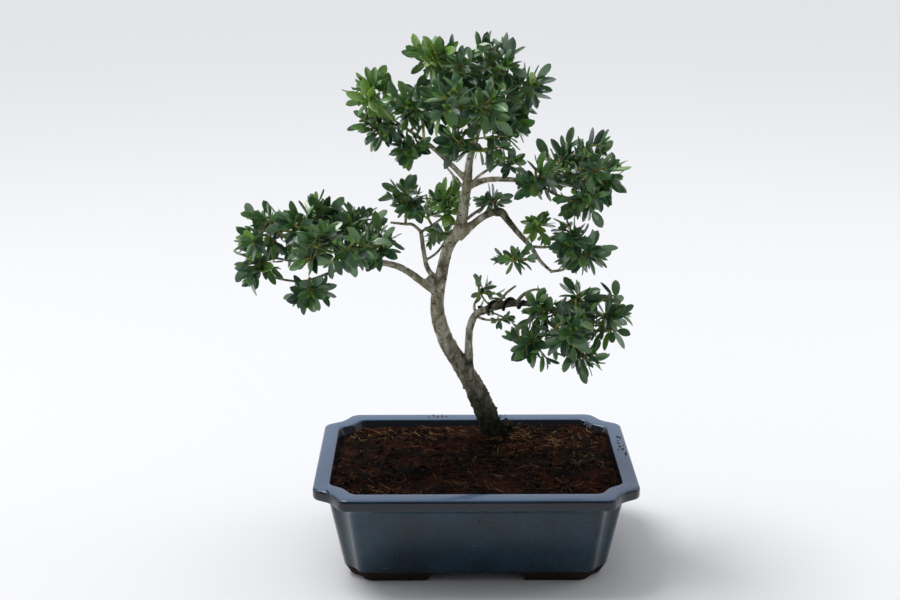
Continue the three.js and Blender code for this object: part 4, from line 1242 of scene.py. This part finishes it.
def tip_leaves(stations, draws):
    """The small new leaves round the end of a shoot."""
    before, after = stations[-2], stations[-1]
    stem = unit(after.point - before.point)
    side = square_to(after.side, stem)
    other = cross(stem, side)
    turn = draws.between(0, 2 * math.pi)
    for i in range(TIP_LEAVES):
        angle, lean = turn + i * GOLDEN_ANGLE, draws.between(*TIP_LEANS)
        radial = side * math.cos(angle) + other * math.sin(angle)
        direction = stem * math.cos(lean) + radial * math.sin(lean)
        upper = square_to(stem * math.sin(lean) - radial * math.cos(lean), direction)
        size = draws.between(*TIP_SIZES)
        yield {
            "base": after.point, "direction": direction, "upper": upper,
            "across": cross(direction, upper), "length": LEAF_LENGTH * size,
            "width": LEAF_WIDTH * size * TIP_NARROWING,
        }


def make_sprays(foliage, leaf_material, shoot_material):
    draws = Scatter(29)
    shapes = [
        leaf_shape("leaf_flat", leaf_material, 0.06, 0, 0),
        leaf_shape("leaf_cupped", leaf_material, 0.16, 0, 0.02),
        leaf_shape("leaf_domed", leaf_material, 0, 0.12, -0.03),
        leaf_shape("leaf_twisted", leaf_material, 0.05, 0.04, 0.09),
    ]
    for name in SPRAYS:
        young = name in YOUNG_SPRAYS
        routes = []
        for stations in foliage.shoots[name]:
            first = stations[0]
            rooted = first.point - first.direction * ROOTED
            routes.append([(*rooted, first.radius)] + [(*s.point, s.radius) for s in stations[1:]])
        stems = tubes("shoots_" + name, routes, 6, 3, "BEZIER")
        for key, value in (("tone", 0.5), ("under", 0), ("youth", 1 if young else 0.3)):
            set_attribute(stems.data, key, value)
        smooth(stems, 60)
        stems.data.materials.append(shoot_material)
        pieces = [stems]
        for leaf in foliage.leaves[name]:
            for side in ("length", "width"):
                leaf[side] *= SMALL_LEAVED.get(name, 1)
            youth = draws.between(0.7, 1) if young else draws.one() ** 5 * 0.7
            pieces.append(add_leaf(shapes, draws, leaf, youth))
        for stations in foliage.shoots[name]:
            for leaf in tip_leaves(stations, draws):
                pieces.append(add_leaf(shapes, draws, leaf, draws.between(0.3, 0.85)))
        piece = join(pieces, "leafy_" + name)
        finish_piece(piece, "spray_" + name)
    for shape in shapes:
        bpy.data.objects.remove(shape)


# Finishes, written as sums on sockets

def as_light(colour):
    """A colour as seen on a screen, from 0 to 255, as the light that Blender works with."""
    parts = (part / 255 for part in colour)
    light = (part / 12.92 if part <= 0.04045 else ((part + 0.055) / 1.055) ** 2.4 for part in parts)
    return *light, 1


class Amount:
    """A number that varies over a surface, and what can be worked out from it."""

    def __init__(self, finish, socket):
        self.finish = finish
        self.socket = socket

    def worked_out(self, operation, first, second):
        return self.finish.node("ShaderNodeMath", {"operation": operation}, {0: first, 1: second})

    def __add__(self, other):
        return self.worked_out("ADD", self, other)

    def __sub__(self, other):
        return self.worked_out("SUBTRACT", self, other)

    def __rsub__(self, other):
        return self.worked_out("SUBTRACT", other, self)

    def __mul__(self, other):
        return self.worked_out("MULTIPLY", self, other)

    def __lt__(self, other):
        return self.worked_out("LESS_THAN", self, other)

    __radd__ = __add__
    __rmul__ = __mul__


class Finish:
    """A material for one kind of surface."""

    def __init__(self, name, **constants):
        self.material = bpy.data.materials.new(name)
        self.material.use_nodes = True
        self.nodes = self.material.node_tree.nodes
        self.links = self.material.node_tree.links
        self.shader = self.nodes["Principled BSDF"]
        for key, value in constants.items():
            self.socket(key).default_value = value

    def socket(self, name):
        return self.shader.inputs[name.replace("_", " ").title().replace("Ior", "IOR")]

    def node(self, kind, settings=None, sockets=None, output=0):
        node = self.nodes.new(kind)
        for key, value in (settings or {}).items():
            if key == "stops":
                self.set_stops(node.color_ramp, value)
            else:
                setattr(node, key, value)
        for key, value in (sockets or {}).items():
            self.feed(node.inputs[key], value)
        return Amount(self, node.outputs[output])

    def feed(self, socket, value):
        if isinstance(value, Amount):
            self.links.new(value.socket, socket)
        else:
            socket.default_value = as_light(value) if socket.type == "RGBA" else value

    def set_stops(self, ramp, stops):
        while len(ramp.elements) > 1:
            ramp.elements.remove(ramp.elements[0])
        for i, (place, shade) in enumerate(stops):
            element = ramp.elements[0] if i == 0 else ramp.elements.new(place)
            element.position = place
            element.color = as_light(shade)

    def set(self, **sockets):
        for key, value in sockets.items():
            self.feed(self.socket(key), value)

    def place(self, stretch=(1, 1, 1), turn=0):
        """The place on the object, in metres, stretched or turned for a pattern."""
        at = self.node("ShaderNodeTexCoord", output="Object")
        sockets = {"Vector": at, "Scale": stretch, "Rotation": (0, 0, turn)}
        return self.node("ShaderNodeMapping", sockets=sockets)

    def height(self):
        """The height over the ground, in metres."""
        at = self.node("ShaderNodeTexCoord", output="Object")
        return self.node("ShaderNodeSeparateXYZ", sockets={0: at}, output=2)

    def spots(self, size, detail=4, roughness=0.55, place=None, distortion=0):
        """Cloudy noise with patches of about a size in millimetres."""
        sockets = {
            "Vector": place or self.place(), "Scale": 1 / (size * MM), "Detail": detail,
            "Roughness": roughness, "Distortion": distortion,
        }
        return self.node("ShaderNodeTexNoise", sockets=sockets)

    def cells(self, size, place=None, feature="F1"):
        sockets = {"Vector": place or self.place(), "Scale": 1 / (size * MM)}
        return self.node("ShaderNodeTexVoronoi", {"feature": feature}, sockets)

    def attribute(self, name):
        return self.node("ShaderNodeAttribute", {"attribute_name": name}, output="Fac")

    def step(self, value, low, high, start=0, end=1):
        """Goes from start to end as a value goes from low to high, with soft ends."""
        sockets = {
            "Value": value, "From Min": low, "From Max": high, "To Min": start, "To Max": end,
        }
        return self.node("ShaderNodeMapRange", {"interpolation_type": "SMOOTHSTEP"}, sockets)

    def between(self, height, levels):
        """Goes from 0 to 1 as a height goes from one level in millimetres to another."""
        return self.step(height, levels[0] * MM, levels[1] * MM)

    def blend(self, share, first, second):
        """Goes from one colour to another."""
        return self.node("ShaderNodeMix", {"data_type": "RGBA"}, {0: share, 6: first, 7: second}, 2)

    def ramp(self, value, *stops):
        return self.node("ShaderNodeValToRGB", {"stops": stops}, {0: value})

    def bump(self, height, depth, strength=1, under=None):
        """A normal for relief of a depth in millimetres."""
        sockets = {"Height": height, "Distance": depth * MM, "Strength": strength}
        if under:
            sockets["Normal"] = under
        return self.node("ShaderNodeBump", sockets=sockets)


# Heights in millimetres between which a mark of the pot comes in or goes out: painted light on the
# rim's top, a painted lighter band under the rim, painted shade on the rim's upright edge, and wear
# on the feet
RIM_TOP_PAINTED_LIGHT_IN = (74.2, 74.9)
UNDER_RIM_PAINTED_LIGHT_IN, UNDER_RIM_PAINTED_LIGHT_OUT = (59, 62), (68.5, 67)
RIM_EDGE_PAINTED_SHADE_IN, RIM_EDGE_PAINTED_SHADE_OUT = (67, 68.5), (74.4, 73)
FOOT_WEAR_IN = (1.6, 0.2)

# Heights of the trunk between which its bark gets darker, and then as dark as the soil
LOW_BARK = (170, 80)
SOILED_BARK = (118, 90)


def glazed_clay():
    f = Finish("blue_glaze_over_dark_clay", coat_roughness=0.07, specular_ior_level=0.12)
    height = f.height()
    line = (FOOT_HEIGHT + 0.6) * MM
    edge = height + f.spots(16, 3) * (2.2 * MM) - 1.1 * MM
    glazed = f.step(edge, line - 0.15 * MM, line + 0.15 * MM)
    clouds, mottle = f.spots(38, 4), f.spots(2.4, 5, 0.65)
    deep = f.ramp(
        clouds, (0.32, (5, 26, 38)), (0.52, (10, 40, 55)), (0.72, (22, 56, 72)),
    )
    glaze = f.blend(f.step(mottle, 0.45, 0.8) * 0.22, deep, (52, 78, 98))
    # Painted light: the rim's flat top is painted paler, as if lit from above
    top = f.between(height, RIM_TOP_PAINTED_LIGHT_IN)
    glaze = f.blend(top * (0.62 + 0.3 * mottle), glaze, (88, 110, 142))
    # Painted light: a paler band on the slope under the rim
    under = f.between(height, UNDER_RIM_PAINTED_LIGHT_IN) * f.between(height, UNDER_RIM_PAINTED_LIGHT_OUT)
    glaze = f.blend(under * 0.2, glaze, (36, 62, 86))
    # Painted shade: the rim's upright outer edge is painted nearly black
    rim_edge_painted_shade = f.between(height, RIM_EDGE_PAINTED_SHADE_IN) * f.between(height, RIM_EDGE_PAINTED_SHADE_OUT)
    glaze = f.blend(rim_edge_painted_shade * 0.85, glaze, (14, 18, 32))
    pits = (f.cells(9) < 0.075) * f.step(f.spots(30, 2), 0.56, 0.6)
    scuffs = f.step(f.spots(5, 2, 0.5, f.place((0.3, 0.3, 3))), 0.71, 0.77)
    glaze = f.blend(pits * 0.8, glaze, (20, 24, 28))
    glaze = f.blend(scuffs * 0.4, glaze, (120, 130, 136))
    clay = f.ramp(f.spots(3, 5, 0.7), (0.3, (24, 19, 17)), (0.7, (52, 42, 36)))
    worn = f.between(height, FOOT_WEAR_IN) * f.step(f.spots(6), 0.4, 0.6)
    clay = f.blend(worn * 0.6, clay, (120, 105, 90))
    f.set(base_color=f.blend(glazed, clay, glaze))
    f.set(roughness=0.75 - glazed * 0.5 + scuffs * 0.2, coat_weight=glazed * (0.72 - 0.4 * scuffs))
    low = f.bump(f.spots(14, 3), 1.1, 0.5)
    f.set(normal=f.bump(mottle * 0.4 - pits + glazed, 0.25, 0.6, low))
    return f.material


def earth(name, by_tone=False):
    f = Finish(name, specular_ior_level=0.06)
    grains, patches = f.spots(1.6, 6, 0.75), f.spots(16, 4)
    dark = f.ramp(
        grains, (0.36, (2, 1, 1)), (0.53, (12, 7, 5)), (0.7, (38, 23, 16)),
    )
    red = f.ramp(grains, (0.36, (8, 3, 2)), (0.66, (74, 35, 22)))
    shade = f.blend(f.step(patches, 0.45, 0.62) * 0.75, dark, red)
    if by_tone:
        shade = f.blend(f.attribute("tone") * 0.6, shade, (70, 46, 32))
    f.set(base_color=shade, roughness=0.82 + 0.15 * grains)
    f.set(normal=f.bump(grains, 0.9, 0.9, f.bump(f.spots(4, 4), 1.6, 0.6)))
    return f.material


def fibre_straw():
    f = Finish("dry_fibres", specular_ior_level=0.2)
    tone, streak = f.attribute("tone"), f.spots(2.2, 3)
    shade = f.ramp(
        tone, (0.05, (50, 27, 18)), (0.3, (92, 52, 32)), (0.55, (124, 88, 54)),
        (0.95, (168, 140, 92)),
    )
    shade = f.blend(f.step(streak, 0.5, 0.7) * 0.35, shade, (60, 42, 26))
    f.set(base_color=shade, roughness=0.85)
    f.set(normal=f.bump(streak, 0.2, 0.5))
    return f.material


def grey_bark():
    f = Finish("grey_green_bark", specular_ior_level=0.2)
    height = f.height()
    low = f.between(height, LOW_BARK)
    drawn_up, laid_level = f.place((1, 1, 0.45)), f.place((1, 1, 2.4))
    flakes, fine = f.spots(5.5, 6, 0.68, drawn_up, 0.4), f.spots(0.9, 5, 0.7, drawn_up)
    patches = f.spots(24, 4, 0.6, drawn_up)
    shade = f.ramp(
        flakes, (0.3, (62, 56, 44)), (0.42, (118, 112, 94)),
        (0.52, (172, 168, 148)), (0.66, (226, 222, 206)),
    )
    shade = f.blend(f.step(patches, 0.46, 0.62) * 0.45, shade, (122, 120, 84))
    scars = (f.cells(7, laid_level) < 0.24) * f.step(f.spots(7, 3), 0.42, 0.5)
    shade = f.blend(scars * 0.8, shade, (40, 34, 26))
    shade = f.blend(low * f.step(patches, 0.7, 0.4) * 0.85, shade, (58, 58, 42))
    shade = f.blend(f.step(fine, 0.55, 0.7) * 0.5, shade, (46, 38, 30))
    soiled = f.between(height + 0.02 * flakes, SOILED_BARK)
    shade = f.blend(soiled * 0.85, shade, (34, 34, 24))
    # Painted shade: the bark is painted nearly black at branch joins, along the lower branch and on
    # the root knob
    shade = f.blend(f.attribute("dark") * f.step(fine, 0.75, 0.4), shade, (16, 13, 10))
    f.set(base_color=shade, roughness=0.7 + 0.25 * fine)
    relief = f.bump(flakes - scars * 0.5, 1.1, 0.9)
    f.set(normal=f.bump(fine, 0.25, 0.8, relief))
    return f.material


def waxy_leaf():
    f = Finish("waxy_leaf", coat_weight=0.75, coat_roughness=0.2)
    tone, youth, under = f.attribute("tone"), f.attribute("youth"), f.attribute("under")
    at = f.node("ShaderNodeTexCoord", output="UV")
    along = f.node("ShaderNodeSeparateXYZ", sockets={0: at}, output=0)
    side = f.node("ShaderNodeSeparateXYZ", sockets={0: at}, output=1)
    off_middle = f.node("ShaderNodeMath", {"operation": "ABSOLUTE"}, {0: side - 0.5})
    midrib = f.step(off_middle, 0.05, 0.015)
    bands = f.node("ShaderNodeMath", {"operation": "SINE"}, {0: (along - off_middle * 0.7) * 44})
    clouds = f.spots(3.2, 3)
    grown_up = f.ramp(
        tone, (0, (20, 50, 38)), (0.5, (50, 96, 62)), (1, (98, 144, 74)),
    )
    shade = f.blend(f.step(clouds, 0.4, 0.7) * 0.3, grown_up, (78, 120, 86))
    fresh = f.ramp(tone, (0, (84, 142, 42)), (1, (146, 188, 66)))
    shade = f.blend(youth, shade, fresh)
    shade = f.blend(midrib * 0.35, shade, (110, 142, 84))
    shade = f.blend(under * (1 - 0.4 * youth) * 0.75, shade, (92, 126, 88))
    f.set(base_color=shade, roughness=0.36 + 0.22 * under + 0.1 * clouds)
    veins = bands * 0.25 - midrib * 0.9
    f.set(normal=f.bump(veins, 0.16, 0.5, f.bump(clouds, 0.5, 0.35)))
    return f.material


def green_shoot():
    f = Finish("green_shoot")
    bits = f.spots(4.5, 3)
    youth = f.attribute("youth")
    old = f.ramp(
        bits, (0.36, (110, 70, 38)), (0.48, (140, 136, 58)),
        (0.66, (162, 172, 80)),
    )
    fresh = f.ramp(bits, (0.35, (150, 108, 52)), (0.52, (150, 168, 74)))
    f.set(base_color=f.blend(youth, old, fresh), roughness=0.55 + 0.2 * bits)
    f.set(normal=f.bump(f.spots(0.8, 3), 0.15, 0.5))
    return f.material


def dark_wire():
    f = Finish("annealed_dark_wire", metallic=0.75)
    wear, grain = f.spots(5, 4), f.spots(0.7, 3)
    f.set(base_color=f.blend(f.step(wear, 0.5, 0.72) * 0.6, (26, 25, 26), (72, 66, 62)))
    f.set(roughness=0.38 + 0.3 * wear, normal=f.bump(grain, 0.08, 0.4))
    return f.material


def moulded_mesh():
    f = Finish("moulded_mesh")
    grain = f.spots(0.6, 3)
    f.set(base_color=f.blend(f.spots(9, 3) * 0.5, (28, 32, 28), (62, 60, 50)))
    f.set(roughness=0.5 + 0.25 * grain, normal=f.bump(grain, 0.1, 0.4))
    return f.material


# Floor, lights and camera

CAMERA_PLACE = (0.002836, -1.01735, 0.50490)
CAMERA_TURN = (73.148, 0, -0.400)
CAMERA_LENS = 58.2022
SENSOR_WIDTH = 36

# Soft lights over the object: place, size and power
SOFT_LIGHTS = [
    ((-0.2, 0.5, 1.9), (1.8, 1.4), 6),
    ((-1.5, 0.1, 0.9), (0.9, 1.2), 4),
    ((1.5, 0.3, 1), (0.9, 1.2), 3),
]
LIT_PLACE = (0, 0, 0.15)
SUN_DIRECTION = (0.42, -0.2, -1)
SUN_STRENGTH = 1.7
SUN_SIZE = 24

# The room is darker in front, as the glaze reflects it: from and to which Y, and how bright
ROOM_COLOUR = (0.94, 0.965, 1)
ROOM_SPAN = (-0.9, 0.4)
ROOM_STRENGTH = (0.15, 0.64)


def make_floor():
    select_only()
    bpy.ops.mesh.primitive_plane_add(size=60)
    floor = named("floor")
    f = Finish("pale_floor", specular_ior_level=0.1)
    pale = f.blend(f.spots(900, 2) * 0.5, (233.65, 233.65, 236.15), (236.15, 236.15, 237.39))
    f.set(base_color=pale, roughness=0.9)
    floor.data.materials.append(f.material)


def soft_light(place, size, power):
    bpy.ops.object.light_add(type="AREA", location=place)
    light = bpy.context.object
    light.data.shape = "RECTANGLE"
    light.data.size, light.data.size_y = size
    light.data.energy = power
    towards = Vector(LIT_PLACE) - Vector(place)
    light.rotation_euler = towards.to_track_quat("-Z", "Y").to_euler()


def make_studio():
    world = bpy.data.worlds.new("soft_room")
    world.use_nodes = True
    nodes, links = world.node_tree.nodes, world.node_tree.links
    nodes["Background"].inputs["Color"].default_value = (*ROOM_COLOUR, 1)
    towards = nodes.new("ShaderNodeTexCoord")
    parts = nodes.new("ShaderNodeSeparateXYZ")
    strength = nodes.new("ShaderNodeMapRange")
    strength.interpolation_type = "SMOOTHSTEP"
    for key, value in zip(("From Min", "From Max", "To Min", "To Max"), ROOM_SPAN + ROOM_STRENGTH):
        strength.inputs[key].default_value = value
    links.new(towards.outputs["Generated"], parts.inputs[0])
    links.new(parts.outputs["Y"], strength.inputs["Value"])
    links.new(strength.outputs[0], nodes["Background"].inputs["Strength"])
    bpy.context.scene.world = world
    for light in SOFT_LIGHTS:
        soft_light(*light)
    bpy.ops.object.light_add(type="SUN")
    sun = bpy.context.object
    sun.rotation_euler = Vector(SUN_DIRECTION).to_track_quat("-Z", "Y").to_euler()
    sun.data.energy, sun.data.angle = SUN_STRENGTH, math.radians(SUN_SIZE)
    turn = [math.radians(angle) for angle in CAMERA_TURN]
    bpy.ops.object.camera_add(location=CAMERA_PLACE, rotation=turn)
    camera = bpy.context.object
    camera.data.lens = CAMERA_LENS
    camera.data.sensor_width = SENSOR_WIDTH
    bpy.context.scene.camera = camera
    bpy.context.scene.view_settings.view_transform = "Standard"


def finish_mesh_plates(material):
    for name in ("drainage_mesh_left", "drainage_mesh_right"):
        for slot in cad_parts[name].material_slots:
            slot.material = material


make_pot(glazed_clay())
make_soil(earth("damp_soil"))
make_fibres(fibre_straw())
make_crumbs(earth("soil_crumbs", by_tone=True))
make_trunk(grey_bark())
make_wire(dark_wire())
finish_mesh_plates(moulded_mesh())
foliage = Foliage()
foliage.grow()
make_sprays(foliage, waxy_leaf(), green_shoot())
make_floor()
make_studio()
